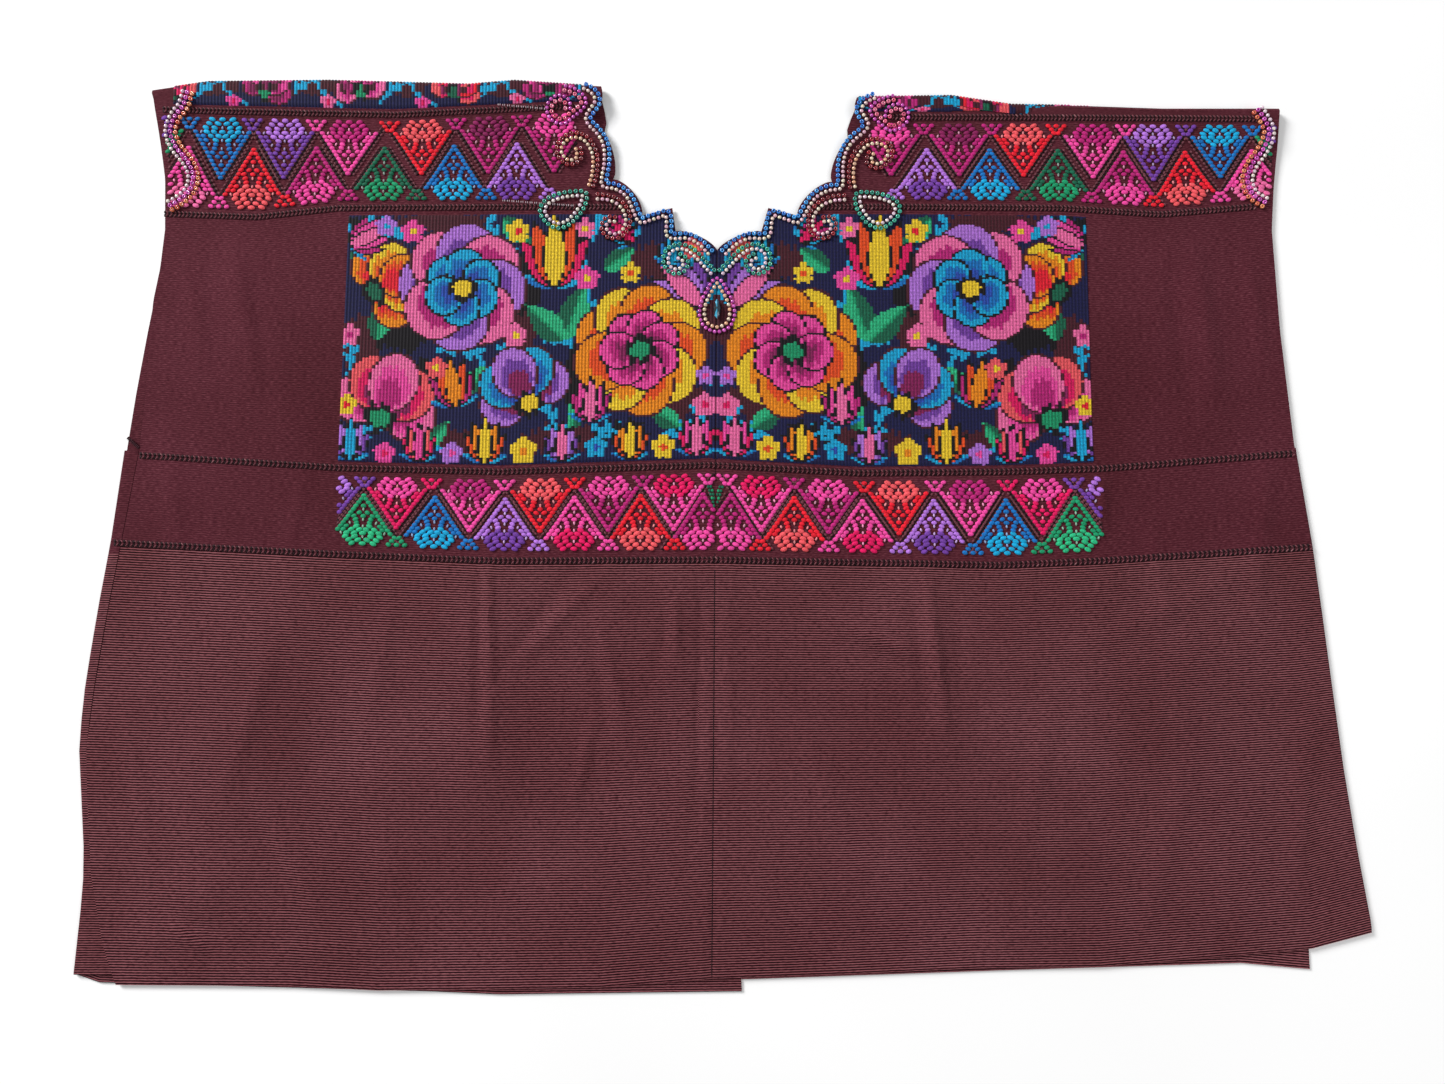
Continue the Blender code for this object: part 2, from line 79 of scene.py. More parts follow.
LINES = {
    "fold": ((-430, 325), (-385, 332), (-295, 333), (-189, 330), (-155, 333), (-98, 329), (0, 325),
             (104, 320), (174, 321), (219, 314), (276, 313), (332, 311), (425, 311)),
    "chain_a": ((-425, 309), (-243, 305), (-121, 311), (0, 307), (113, 303), (257, 302), (400, 301)),
    "chain_b": ((-420, 229), (-345, 226), (-284, 233), (-135, 234), (133, 234), (254, 233), (329, 228),
                (420, 236)),
    "chain_c": ((-435, 47), (-277, 37), (-160, 34), (-6, 39), (102, 33), (204, 34), (275, 36), (435, 49)),
    "chain_d": ((-450, -17), (-275, -26), (-159, -31), (-6, -30), (101, -32), (202, -34), (273, -31),
                (440, -20)),
    "front_hem": ((-450, -325), (-298, -326), (-236, -329), (-152, -328), (-83, -327), (-5, -321),
                  (87, -318), (181, -314), (264, -313), (362, -305), (411, -301), (454, -290)),
    "back_hem_left": ((-448, -318), (-430, -324), (-200, -330), (-152, -332), (15, -330)),
    "back_hem_right": ((15, -322), (195, -316), (362, -311), (408, -315), (454, -318)),
}
SIDE = {
    "left": ((-318, -448), (-289, -446), (-248, -445), (-221, -448), (-165, -454), (-123, -452),
             (-66, -446), (-19, -440), (58, -433), (95, -429), (141, -423), (187, -416), (217, -414),
             (256, -416), (326, -428)),
    "right": ((-290, 454), (-235, 447), (-179, 441), (-130, 437), (-66, 432), (-19, 428), (51, 420),
              (95, 417), (141, 414), (217, 412), (248, 415), (280, 419), (311, 421)),
}
WRAP_WIDTH = {
    "left": ((-325, 30), (-296, 17), (-250, 5), (-193, 5), (-123, 7), (-19, 8), (51, 11), (88, 9),
             (125, 5), (163, 1)),
    "right": ((-290, 44), (-130, 18), (56, 8), (120, 4), (200, 2)),
}
SEAM = {"front": ((-330, -5.5), (200, -2.0)), "back": ((-330, 15.5), (200, -2.0))}

# Creases as (x, y) to (x, y), spread and height: the solids' own, then finer ones that fade at their ends
CREASES = (
    ((-160, -34), (-166, -180), 22, 2.2), ((-78, -70), (-66, -150), 18, 1.6),
    ((-30, -56), (-36, -110), 14, 1.2), ((146, -44), (158, -156), 20, 2.4),
    ((92, -76), (140, -100), 16, 1.5), ((262, 36), (276, -60), 22, 1.6), ((-352, 180), (-318, 70), 26, 1.8),
    ((338, 190), (352, 70), 26, 2.0), ((-330, -90), (-360, -250), 34, 2.0),
    ((320, -110), (352, -250), 36, 2.2), ((-392, -292), (-360, -268), 16, 1.4),
)
FINE_CREASES = (
    ((-166, -34), (-163, -112), 2.9, 2.9), ((-163, -112), (-162, -172), 4.4, 2.3),
    ((-173, -40), (-171, -150), 4.0, -2.2), ((-32, -61), (-31, -98), 3.0, 2.2),
    ((-38, -70), (-44, -112), 4.6, -1.6), ((-86, -77), (-67, -144), 3.2, 2.6),
    ((-93, -84), (-78, -150), 4.6, -2.0), ((149, -46), (160, -152), 3.4, 3.2),
    ((138, -52), (148, -140), 6.5, -2.5), ((168, -60), (172, -120), 5.0, -1.1),
    ((97, -80), (138, -99), 3.0, 2.7), ((92, -89), (132, -111), 5.0, -1.6),
    ((277, 28), (276, -4), 3.4, 2.3), ((-379, -288), (-356, -301), 3.6, 2.6),
    ((-384, -276), (-350, -290), 6.0, -1.6), ((-78, -36), (-150, -108), 4.6, 1.8),
    ((-104, -36), (-168, -128), 6.0, -1.4), ((-344, -182), (-321, -98), 6.5, 2.1),
    ((-321, -202), (-280, -266), 7.0, 2.0), ((-336, -196), (-302, -262), 8.0, -1.6),
    ((-90, -145), (-102, -202), 3.8, 2.0), ((312, -16), (322, -72), 5.5, 1.6),
    ((255, -96), (384, -36), 7.0, 1.4), ((-13, -38), (-16, -218), 3.6, -1.8),
    ((8, -40), (6, -190), 4.4, 1.2), ((-362, 200), (-336, 104), 8.0, 2.0),
    ((-346, 170), (-330, 90), 7.0, -1.6), ((352, 196), (362, 96), 8.0, 2.1),
    ((334, 178), (344, 84), 8.0, -1.7), ((-402, 60), (-384, -60), 8.0, 1.4),
    ((398, 40), (384, -70), 8.0, 1.6), ((-236, -60), (-250, -150), 7.0, 1.1),
    ((236, -130), (214, -230), 8.0, 1.4), ((60, -150), (96, -250), 8.0, 1.4),
    ((-250, -196), (-214, -292), 8.0, 1.1), ((330, -180), (296, -280), 8.0, 1.6),
    ((-420, -140), (-396, -250), 6.5, 1.4), ((416, -150), (402, -262), 7.0, 1.4),
    ((-310, -306), (-250, -300), 5.0, 1.1), ((180, -296), (240, -288), 5.0, 1.1),
    ((-180, -240), (-120, -296), 7.0, 1.1), ((20, -240), (50, -300), 7.0, 1.1),
    ((-396, 190), (-380, 120), 7.0, 1.4), ((392, 190), (398, 120), 6.0, 1.4),
    ((-300, 40), (-310, -24), 5.0, 1.0), ((383, -10), (404, -8), 2.4, -1.2),
)
FINE_ENDS = 0.45


def at(table, place):
    """Reads a table of (place, value) pairs, in rising order of place, between its rows."""
    places, values = zip(*table)
    return np.interp(place, places, values)


def seam_at(y):
    return at(SEAM["front"], y)


def side_sign(side):
    return -1.0 if side == "left" else 1.0


def crease_rise(x, y):
    """How far the creases lift the front at each (x, y)."""
    total = np.zeros(np.broadcast(x, y).shape)
    for creases, ends in ((CREASES, 1.0), (FINE_CREASES, FINE_ENDS)):
        for (x0, y0), (x1, y1), spread, height in creases:
            dx, dy = x1 - x0, y1 - y0
            share = np.clip(((x - x0) * dx + (y - y0) * dy) / (dx * dx + dy * dy), 0.0, 1.0)
            away = np.hypot(x - x0 - dx * share, y - y0 - dy * share) / spread
            total = total + height * np.exp(-away * away) * (ends + (1 - ends) * np.sin(np.pi * share))
    return total


def front_height(x, y):
    """Height of the front's inside: the shoulder roll easing down to the layer beneath, and the creases."""
    below_roll = np.maximum(at(LINES["fold"], x) - y, 0.0) / ROLL_EASE
    return FRONT_INSIDE + (ROLL_TOP - FRONT_INSIDE) * np.exp(-below_roll**2) + crease_rise(x, y)


def cloth_top(x, y):
    """Height of the plain front's outer face."""
    return front_height(x, y) + WALL


def column_places(inner, outer, sign):
    """X of every column of every row, close together at both edges of the web so that they are round."""
    steps = np.array(EDGE_STEPS)
    near = inner[:, None] + sign * steps
    far = outer[:, None] - sign * steps[::-1]
    share = np.linspace(0.0, 1.0, WEB_COLUMNS)[1:-1]
    middle = near[:, -1:] + (far[:, :1] - near[:, -1:]) * share
    return np.concatenate([near, middle, far], axis=1)


def stretch(side, layer, upper, lower, shares):
    """One stretch of a web between two (line, shift) places: X and Y of each point, and Y at the edge."""
    sign = side_sign(side)

    def height_at(x):
        top, bottom = at(LINES[upper[0]], x) + upper[1], at(LINES[lower[0]], x) + lower[1]
        return top * (1 - shares[:, None]) + bottom * shares[:, None]

    seam_y = height_at(np.full((1, 1), sign * WEB_MIDDLE))[:, 0]
    edge_y = height_at(np.full((1, 1), sign * WEB_EDGE))[:, 0]
    inner = at(SEAM[layer], seam_y) + sign * SEAM_GAP / 2
    outer = at(SIDE[side], edge_y)
    if (side, layer) in (("left", "back"), ("right", "front")):
        outer = outer - sign * (WALL + WRAP_RADIUS)
    else:
        outer = outer - sign * (at(WRAP_WIDTH[side], edge_y) + SEAM_GAP)
    x = column_places(inner, outer, sign)
    return x, height_at(x), edge_y


def front_stretches():
    """The front from the hem to the shoulder, in rows that follow the weft."""
    marks = (("front_hem", 0.0), ("chain_d", 0.0), ("chain_c", 0.0), ("chain_b", 0.0), ("chain_a", 0.0),
             ("fold", -ROLL_FRONT))
    for lower, upper in zip(marks, marks[1:]):
        length = at(LINES[upper[0]], 0.0) - at(LINES[lower[0]], 0.0)
        rows = round(length / ROW_PITCH)
        last = upper[0] == "fold"
        yield upper, lower, np.linspace(1.0, 0.0, rows + 1)[: None if last else -1]


def roll_row(x, turn):
    """Inside points of the shoulder roll, from a quarter turn at its front to a quarter turn behind it."""
    y = at(LINES["fold"], x) - WALL - PANEL_RISE - ROLL_DEPTH * (1 - math.cos(turn))
    z = (ROLL_TOP + BACK_INSIDE) / 2 + (ROLL_TOP - BACK_INSIDE) / 2 * math.sin(turn)
    return np.stack([x, y, np.full_like(x, z)], axis=1)


def web_rows(side):
    """Every row of a web as a list of inside points, from the front hem over the shoulder to the back hem."""
    sign = side_sign(side)
    rows = []
    for upper, lower, shares in front_stretches():
        x, y, edge_y = stretch(side, "front", upper, lower, shares)
        z = front_height(x, y)
        from_seam = np.abs(x - x[:, :1])
        for height, place, spread in SEAM_PULL:
            z += height * np.exp(-(((from_seam - place) / spread) ** 2))
        rows += [(np.stack([x[k], y[k], z[k]], axis=1), edge_y[k], "front") for k in range(len(shares))]
    edge_y = at(LINES["fold"], sign * WEB_EDGE)
    inner = at(SEAM["front"], edge_y) + sign * SEAM_GAP / 2
    outer = at(SIDE[side], edge_y) - sign * ROLL_INSET
    x = column_places(np.array([inner]), np.array([outer]), sign)[0]
    for turn in np.linspace(math.pi / 2, -math.pi / 2, ROLL_STEPS + 1):
        rows.append((roll_row(x, turn), edge_y, "roll"))
    count = round((at(LINES["fold"], 0.0) - at(LINES["back_hem_" + side], 0.0)) / BACK_ROW)
    upper, lower = ("fold", -ROLL_REST), ("back_hem_" + side, 0.0)
    x, y, edge_y = stretch(side, "back", upper, lower, np.linspace(0.0, 1.0, count))
    rows += [(np.stack([x[k], y[k], np.full(x.shape[1], BACK_INSIDE)], axis=1), edge_y[k], "back")
             for k in range(count)]
    return rows


def wrap_points(side, start, edge_y):
    """Inside points past the outer column, where a layer bends round the side to the other layer's level."""
    sign = side_sign(side)
    level, other = (BACK_INSIDE, FRONT_INSIDE) if side == "left" else (start[2], BACK_INSIDE)
    middle, radius = (level + other) / 2, (other - level) / 2
    width = at(WRAP_WIDTH[side], edge_y) - WALL - WRAP_RADIUS
    points = []
    for degrees in WRAP_TURNS:
        turn = math.radians(degrees)
        x = start[0] + sign * WRAP_RADIUS * math.cos(turn)
        points.append((x, start[1], middle + radius * math.sin(turn)))
    for share in WRAP_SHARES:
        points.append((start[0] - sign * width * share, start[1], other))
    return np.array(points)


def web_sheet(side):
    """One web as an open mesh of its inside points, with its weave laid out in metres as a UV map."""
    wrapped_layer = "back" if side == "left" else "front"
    points, weave, starts, widths = [], [], [], []
    travelled, last = 0.0, None
    for row, edge_y, layer in web_rows(side):
        middle = row[len(row) // 2]
        travelled += 0.0 if last is None else float(np.linalg.norm(middle - last))
        last = middle
        if layer == wrapped_layer and edge_y < ARMHOLE_END:
            row = np.concatenate([row, wrap_points(side, row[-1], edge_y)])
        starts.append(sum(widths))
        widths.append(len(row))
        across = np.concatenate([[0.0], np.cumsum(np.linalg.norm(np.diff(row, axis=0), axis=1))])
        along = len(widths) * ROW_PITCH if layer == "front" else travelled
        points.append(row)
        weave.append(np.stack([across, np.full(len(row), along)], axis=1))
    points, weave = np.concatenate(points) * MM, np.concatenate(weave) * MM
    faces = []
    for (start, width), (above, above_width) in zip(zip(starts, widths), zip(starts[1:], widths[1:])):
        for k in range(min(width, above_width) - 1):
            corners = (above + k, above + k + 1, start + k + 1, start + k)
            faces.append(corners[::-1] if side == "right" else corners)
    mesh = bpy.data.meshes.new(side + "_web_cloth")
    mesh.from_pydata(points.tolist(), [], faces)
    layout = mesh.uv_layers.new(name="weave")
    loops = np.empty(len(mesh.loops), dtype=np.int32)
    mesh.loops.foreach_get("vertex_index", loops)
    layout.data.foreach_set("uv", weave[loops].ravel())
    return mesh


def linear(red, green, blue):
    """A colour as a screen shows it, 0 to 255, in the linear values that a shader takes."""
    shown = [value / 255 for value in (red, green, blue)]
    return (*(part / 12.92 if part < 0.04045 else ((part + 0.055) / 1.055) ** 2.4 for part in shown), 1.0)


NECK_SCALLOPS = (
    {"start": (-103, 340), "end": (-97.5, 303.5), "swell": 12.0},
    {"start": (-97.5, 303.5), "end": (-80, 255.5), "swell": 7.5},
    {"start": (-80, 255.5), "end": (-58, 227.3), "swell": 6.0},
    {"start": (-58, 227.3), "end": (-35.4, 233.2), "swell": 0.0},
    {"start": (-35.4, 233.2), "end": (-32.8, 215), "swell": 0.0},
    {"start": (-32.8, 215), "end": (-2, 200.5), "swell": 4.2},
)
BACK_NECK = ((-103, 340), (-90, 322), (-87, 310), (-85.5, 301), (-87.5, 291), (-86, 262), (-70, 241),
             (-60, 223), (-38, 209), (-20, 205), (-2, 196))
SCALLOP_STEPS = 16
NECK_TOP_OF_CHEST = 234.0
NECK_LEAN = 0.072
RIGHT_SHOULDER_SHARE = 0.915
SWELL_CURVE = 0.7
CUT_OVERLAP = 0.05
CUT_TOP = 20.0
CUT_FOOT = -5.0


def mirrored(point):
    """The same place on the blouse's right half, whose shoulder lies lower and leans out a little."""
    x, y = point
    seam, cusp = seam_at(y), NECK_SCALLOPS[-1]["end"][1]
    above = max(y - NECK_TOP_OF_CHEST, 0.0)
    return (2 * seam - x + 2 * NECK_LEAN * max(y - cusp, 0.0), y - above * (1 - RIGHT_SHOULDER_SHARE))


def scallop_arc(scallop):
    """Points along one scallop, leaving out its last one."""
    start, end = Vector(scallop["start"]), Vector(scallop["end"])
    steps = SCALLOP_STEPS if scallop["swell"] else 1
    across = Vector((start.y - end.y, end.x - start.x)).normalized()
    arc = []
    for step in range(steps):
        share = step / steps
        swell = scallop["swell"] * (1 - (2 * share - 1) ** 2) ** SWELL_CURVE
        arc.append(tuple(start.lerp(end, share) + across * swell))
    return arc


def whole_outline(left_half):
    return list(left_half) + [mirrored(point) for point in reversed(left_half[:-1])]


def set_down(name, data):
    """A new object at the scene's origin."""
    thing = bpy.data.objects.new(name, data)
    bpy.context.scene.collection.objects.link(thing)
    return thing


def neck_cutter(name, outline, low, high):
    """The neck hole as a closed block from the low height to the high one."""
    block = bmesh.new()
    ring = [block.verts.new((x * MM, y * MM, low * MM)) for x, y in outline]
    base = block.faces.new(ring)
    raised = bmesh.ops.extrude_face_region(block, geom=[base])["geom"]
    tops = [item for item in raised if isinstance(item, bmesh.types.BMVert)]
    bmesh.ops.translate(block, verts=tops, vec=(0.0, 0.0, (high - low) * MM))
    bmesh.ops.recalc_face_normals(block, faces=block.faces)
    mesh = bpy.data.meshes.new(name)
    block.to_mesh(mesh)
    block.free()
    return set_down(name, mesh)


def baked(piece):
    """The piece's shape with its modifiers applied, and the modifiers taken off."""
    bpy.context.view_layer.update()
    shape = bpy.data.meshes.new_from_object(piece.evaluated_get(bpy.context.evaluated_depsgraph_get()))
    piece.modifiers.clear()
    piece.data = shape
    return piece


def node_group(name, kind, given, made):
    """An empty node group with named inputs, each a kind of socket and a value or None, and named outputs."""
    group = bpy.data.node_groups.new(name, kind)
    for title, (socket_kind, value) in given.items():
        socket = group.interface.new_socket(title, in_out="INPUT", socket_type="NodeSocket" + socket_kind)
        if value is not None:
            socket.default_value = value
    for title, socket_kind in made.items():
        group.interface.new_socket(title, in_out="OUTPUT", socket_type="NodeSocket" + socket_kind)
    return group, group.nodes.new("NodeGroupInput").outputs


def wired(tree, kind, given=(), **settings):
    """A new node. Each input takes a plain value, a socket, a node's first output, or a list of these."""
    node = tree.nodes.new(kind)
    for name, value in settings.items():
        setattr(node, name, value)
    for socket, values in dict(given).items():
        for value in values if isinstance(values, list) else [values]:
            if isinstance(value, bpy.types.Node):
                value = value.outputs[0]
            if isinstance(value, bpy.types.NodeSocket):
                tree.links.new(value, node.inputs[socket])
            else:
                node.inputs[socket].default_value = value
    return node


def yarn_grain_group():
    """Node group: masks of a thread's fibres, for the uneven look of spun cotton, and of large soft blotches,
    which the maroon cloth takes as painted shade.
    """
    group, given = node_group("yarn_grain", "ShaderNodeTree", {
        "Vector": ("Vector", None), "Along": ("Float", 900.0), "Across": ("Float", 2600.0),
        "Blotch": ("Float", 9.0),
    }, {"Fibre": "Float", "Blotch": "Float"})
    along, across = given["Along"], given["Across"]
    scale = wired(group, "ShaderNodeCombineXYZ", {"X": along, "Y": across, "Z": across})
    laid = wired(group, "ShaderNodeVectorMath", {0: given["Vector"], 1: scale}, operation="MULTIPLY")
    fibre = wired(group, "ShaderNodeTexNoise", {"Vector": laid, "Scale": 1.0, "Detail": 3.0})
    blotch = wired(group, "ShaderNodeTexNoise", {
        "Vector": given["Vector"], "Scale": given["Blotch"], "Detail": 4.0})
    wired(group, "NodeGroupOutput", {"Fibre": fibre.outputs["Fac"], "Blotch": blotch.outputs["Fac"]})
    return group


YARN_GRAIN = yarn_grain_group()


def yarn_grain(tree, place, **sizes):
    """The masks of the yarn's grain at a place."""
    return wired(tree, "ShaderNodeGroup", {"Vector": place, **sizes}, node_tree=YARN_GRAIN).outputs


def toned(tree, share, tones):
    """The colour at a share of a ramp of (place, colour as a screen shows it) tones."""
    node = wired(tree, "ShaderNodeValToRGB", {"Fac": share})
    while len(node.color_ramp.elements) < len(tones):
        node.color_ramp.elements.new(0.5)
    for element, (place, colour) in zip(node.color_ramp.elements, tones):
        element.position = place
        element.color = linear(*colour)
    return node.outputs["Color"]


def mixed(tree, blend, share, first, second):
    """The colour of a Mix node."""
    inputs = {0: share, 6: first, 7: second}
    return wired(tree, "ShaderNodeMix", inputs, data_type="RGBA", blend_type=blend).outputs[2]


def started(name, roughness, **shader_values):
    """A new material with its Principled shader's plain values set, and its node tree."""
    finish = bpy.data.materials.new(name)
    finish.use_nodes = True
    shader = finish.node_tree.nodes["Principled BSDF"]
    shader.inputs["Roughness"].default_value = roughness
    for socket, value in shader_values.items():
        shader.inputs[socket.replace("_", " ")].default_value = value
    return finish, finish.node_tree


def coloured(tree, colour, height=None, strength=0.0, distance=0.0):
    """Feeds a material's shader with its colour and, where a height is given, with its bump."""
    shader = tree.nodes["Principled BSDF"]
    tree.links.new(colour, shader.inputs["Base Color"])
    if height:
        bump = wired(tree, "ShaderNodeBump", {"Strength": strength, "Distance": distance, "Height": height})
        tree.links.new(bump.outputs["Normal"], shader.inputs["Normal"])


WHITE = (255, 255, 255)
# How fast the shoulders' plain look turns to the skirt's along the web, as shares a metre
SKIRT_BLEND = 400.0
SKIRT_TONES = ((0.27, (22, 2, 7)), (0.5, (68, 18, 27)), (0.76, (146, 90, 96)))
PLAIN_TONES = ((0.24, (54, 13, 24)), (0.5, (80, 31, 42)), (0.78, (118, 64, 74)))
# Painted shade: large soft random patches that darken the cloth
PATCHY_SHADE_TONES = ((0.3, (222, 206, 206)), (0.7, WHITE))
# How much the ribs and the fibres weigh in the cloth's tone: everywhere, and more on the skirt. The ribs'
# weight sets how pale their crests and how dark their valleys are: partly the weave's own look, partly
# painted highlight and painted shade.
RIB_WEIGHT = -0.07
SKIRT_RIB_WEIGHT = -0.28
RIB_MIDDLE = 0.05
FIBRE_WEIGHT = 0.9
COTTON_BUMP = (0.7, 0.0003)


def maroon_cotton():
    """Matt maroon cotton: smooth and dark on the shoulders and chest, with pale mauve ribs on the skirt. The
    ribs' pale crests and dark valleys are partly painted highlight and painted shade, and large soft patches
    of painted shade darken the cloth.
    """
    finish, tree = started("maroon_cotton", 0.9, Sheen_Weight=0.06, Sheen_Roughness=0.5,
                           Sheen_Tint=linear(190, 140, 150), Specular_IOR_Level=0.12)

    def answer(operation, *values, **settings):
        return wired(tree, "ShaderNodeMath", enumerate(values), operation=operation, **settings)

    weave = wired(tree, "ShaderNodeUVMap", uv_map="weave")
    along = wired(tree, "ShaderNodeSeparateXYZ", {"Vector": weave}).outputs["Y"]
    # Painted highlight and painted shade: the rib wave makes the cloth pale on each rib's crest and dark in
    # the valley between ribs.
    rib = answer("COSINE", answer("MULTIPLY", along, 2 * math.pi / (RIB_PITCH * MM)))
    grain = yarn_grain(tree, weave, Along=300.0, Across=1500.0)
    from_fold = answer("ABSOLUTE", answer("SUBTRACT", along, WEB_CUT[1] / 2))
    skirt = answer("MULTIPLY_ADD", from_fold, SKIRT_BLEND, -SKIRT_BLEND * SKIRT_START, use_clamp=True)
    weight = answer("MULTIPLY_ADD", skirt, SKIRT_RIB_WEIGHT, RIB_WEIGHT)
    ribbed = answer("MULTIPLY_ADD", rib, weight, RIB_MIDDLE)
    spun = answer("MULTIPLY_ADD", grain["Fibre"], FIBRE_WEIGHT, ribbed)
    cloth = mixed(tree, "MIX", skirt, toned(tree, spun, PLAIN_TONES), toned(tree, spun, SKIRT_TONES))
    # Painted shade in large soft patches, from the yarn grain's blotch mask
    patch_shaded = mixed(tree, "MULTIPLY", 1.0, cloth, toned(tree, grain["Blotch"], PATCHY_SHADE_TONES))
    coloured(tree, patch_shaded, spun, *COTTON_BUMP)
    return finish


NECK_OUTLINE = whole_outline([point for scallop in NECK_SCALLOPS for point in scallop_arc(scallop)]
                             + [NECK_SCALLOPS[-1]["end"]])
LAYER_SPLIT = FRONT_INSIDE - LAYER_GAP / 2
cutters = [neck_cutter("neck_cut_front", NECK_OUTLINE, LAYER_SPLIT - CUT_OVERLAP, CUT_TOP),
           neck_cutter("neck_cut_back", whole_outline(BACK_NECK), CUT_FOOT, LAYER_SPLIT + CUT_OVERLAP)]
WEB_FINISH = maroon_cotton()
for side in ("left", "right"):
    web = set_down(side + "_web_cloth", web_sheet(side))
    wall = web.modifiers.new("wall", "SOLIDIFY")
    wall.thickness = WALL * MM
    wall.offset = 1.0
    for cutter in cutters:
        cut = web.modifiers.new("neck", "BOOLEAN")
        cut.operation = "DIFFERENCE"
        cut.solver = "MANIFOLD"
        cut.object = cutter
    baked(web)
    web.data.shade_smooth()
    web.data.set_sharp_from_angle(angle=math.radians(50))
    web.data.materials.clear()
    web.data.materials.append(WEB_FINISH)
    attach(web, "root")
    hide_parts(side + "_web")
for cutter in cutters:
    bpy.data.objects.remove(cutter)

# Corded rows
# Four rows of twined cord cross each web, laid in while it was woven. Each is two lines of holes, shown as
# nearly black stitches of painted shade, and thin maroon twists that lean towards each other across them.
CHAIN_PITCHES = {"chain_a": 2.9, "chain_b": 3.0, "chain_c": 3.4, "chain_d": 3.4}
CHAIN_SPREAD = 1.25
CHAIN_LEAN = math.radians(46)
CHAIN_HOLE = (0.8, 2.9, 0.6)
CHAIN_TWIST = (3.5, 1.15, 1.5)
CHAIN_ENDS = {"chain_a": (-417, 402), "chain_b": (-413, 398), "chain_c": (-421, 416),
              "chain_d": (-436, 427)}
PALE_SHARE = 0.03
CHAIN_LIFT = {"hole": 0.1, "twist": 0.45}
CHAIN_WANDER = 0.15
CHAIN_DYE_SPREAD = 0.2
# How far stitches and cords keep from the neck hole's edge
NECK_CLEAR = {"cord": 3.0, "float": 4.5, "chest": 1.0, "strip": 1.5}
NECK_CENTRE = (0.0, 290.0)


def named(tree, attribute, kind):
    return wired(tree, "GeometryNodeInputNamedAttribute", {"Name": attribute}, data_type=kind)


def sewn_repeat_tree():
    """Geometry Nodes: a small closed form at every point, turned and sized by the point's own attributes."""
    tree, given = node_group("sewn_repeat", "GeometryNodeTree", {
        "Points": ("Geometry", None), "Rounds": ("Int", 1), "Finish": ("Material", None),
    }, {"Sewn": "Geometry"})
    form = wired(tree, "GeometryNodeMeshIcoSphere", {"Radius": 0.5, "Subdivisions": given["Rounds"]})
    turn = wired(tree, "FunctionNodeEulerToRotation", {"Euler": named(tree, "turn", "FLOAT_VECTOR")})
    size = named(tree, "size", "FLOAT_VECTOR")
    laid = wired(tree, "GeometryNodeInstanceOnPoints", {
        "Points": given["Points"], "Instance": form, "Rotation": turn, "Scale": size})
    real = wired(tree, "GeometryNodeRealizeInstances", {"Geometry": laid})
    shade = wired(tree, "GeometryNodeSetShadeSmooth", {"Geometry": real})
    painted = wired(tree, "GeometryNodeSetMaterial", {"Geometry": shade, "Material": given["Finish"]})
    wired(tree, "NodeGroupOutput", {"Sewn": painted})
    return tree


SEWN_REPEAT = sewn_repeat_tree()


def point_mesh(name, places, attributes, edges=()):
    """A mesh of points given in millimetres, with attributes on them as (kind, rows of values)."""
    mesh = bpy.data.meshes.new(name)
    mesh.from_pydata((np.asarray(places, dtype=float) * MM).tolist(), edges, [])
    for title, (kind, values) in attributes.items():
        field = {"FLOAT_VECTOR": "vector", "FLOAT_COLOR": "color", "FLOAT": "value"}[kind]
        layer = mesh.attributes.new(title, kind, "POINT")
        layer.data.foreach_set(field, np.asarray(values, dtype=float).ravel())
    return mesh


def grown(name, points, tree, **values):
    """The piece that a node tree makes of a mesh of points. Inputs are set by their sockets' identifiers."""
    piece = set_down(name, points)
    modifier = piece.modifiers.new(tree.name, "NODES")
    modifier.node_group = tree
    for item in tree.interface.items_tree:
        if item.item_type == "SOCKET" and item.in_out == "INPUT" and item.name.replace(" ", "_") in values:
            modifier[item.identifier] = values[item.name.replace(" ", "_")]
    return baked(piece)


def sewn(name, places, turns, sizes, colours, finish, rounds=1):
    """One joined mesh of stitches: places and sizes in millimetres, and turns about Z."""
    level = np.zeros(len(turns))
    points = point_mesh(name, places, {
        "turn": ("FLOAT_VECTOR", np.stack([level, level, turns], axis=1)),
        "size": ("FLOAT_VECTOR", np.asarray(sizes) * MM),
        "thread_colour": ("FLOAT_COLOR", colours),
    })
    return grown(name, points, SEWN_REPEAT, Rounds=rounds, Finish=finish)


THREAD_BUMP = (0.35, 0.00015)


def own_dye(tree):
    return wired(tree, "ShaderNodeAttribute", attribute_name="thread_colour").outputs["Color"]


def own_place(tree):
    return wired(tree, "ShaderNodeTexCoord").outputs["Object"]


def dyed_thread(name, roughness, sheen, fibre_share):
    """A thread finish that takes its dye from the piece's own thread_colour, with fibre grain along it."""
    finish, tree = started(name, roughness, Sheen_Weight=sheen, Sheen_Roughness=0.4, Specular_IOR_Level=0.2)
    grain = yarn_grain(tree, own_place(tree), Along=2600.0, Across=900.0)
    shade = toned(tree, grain["Fibre"], ((0.3, (255 * (1 - fibre_share),) * 3), (0.62, WHITE)))
    coloured(tree, mixed(tree, "MULTIPLY", 1.0, own_dye(tree), shade), grain["Fibre"], *THREAD_BUMP)
    return finish


THREAD_FINISH = dyed_thread("dyed_cotton_thread", 0.72, 0.05, 0.35)
# Painted shade: the holes' nearly black colour stands for the shade inside them
CORD_HOLE_SHADE = linear(34, 8, 16)
CORD_MID = linear(118, 64, 72)
CORD_PALE = linear(146, 94, 100)


def web_of(x, y):
    return np.where(x < seam_at(y), "left", "right")


def varied(rng, colours, spread):
    """The same dyes, each stitch a little lighter or darker."""
    colours = np.asarray(colours, dtype=float).copy()
    colours[:, :3] *= rng.uniform(1 - spread, 1 + spread, (len(colours), 1))
    return colours


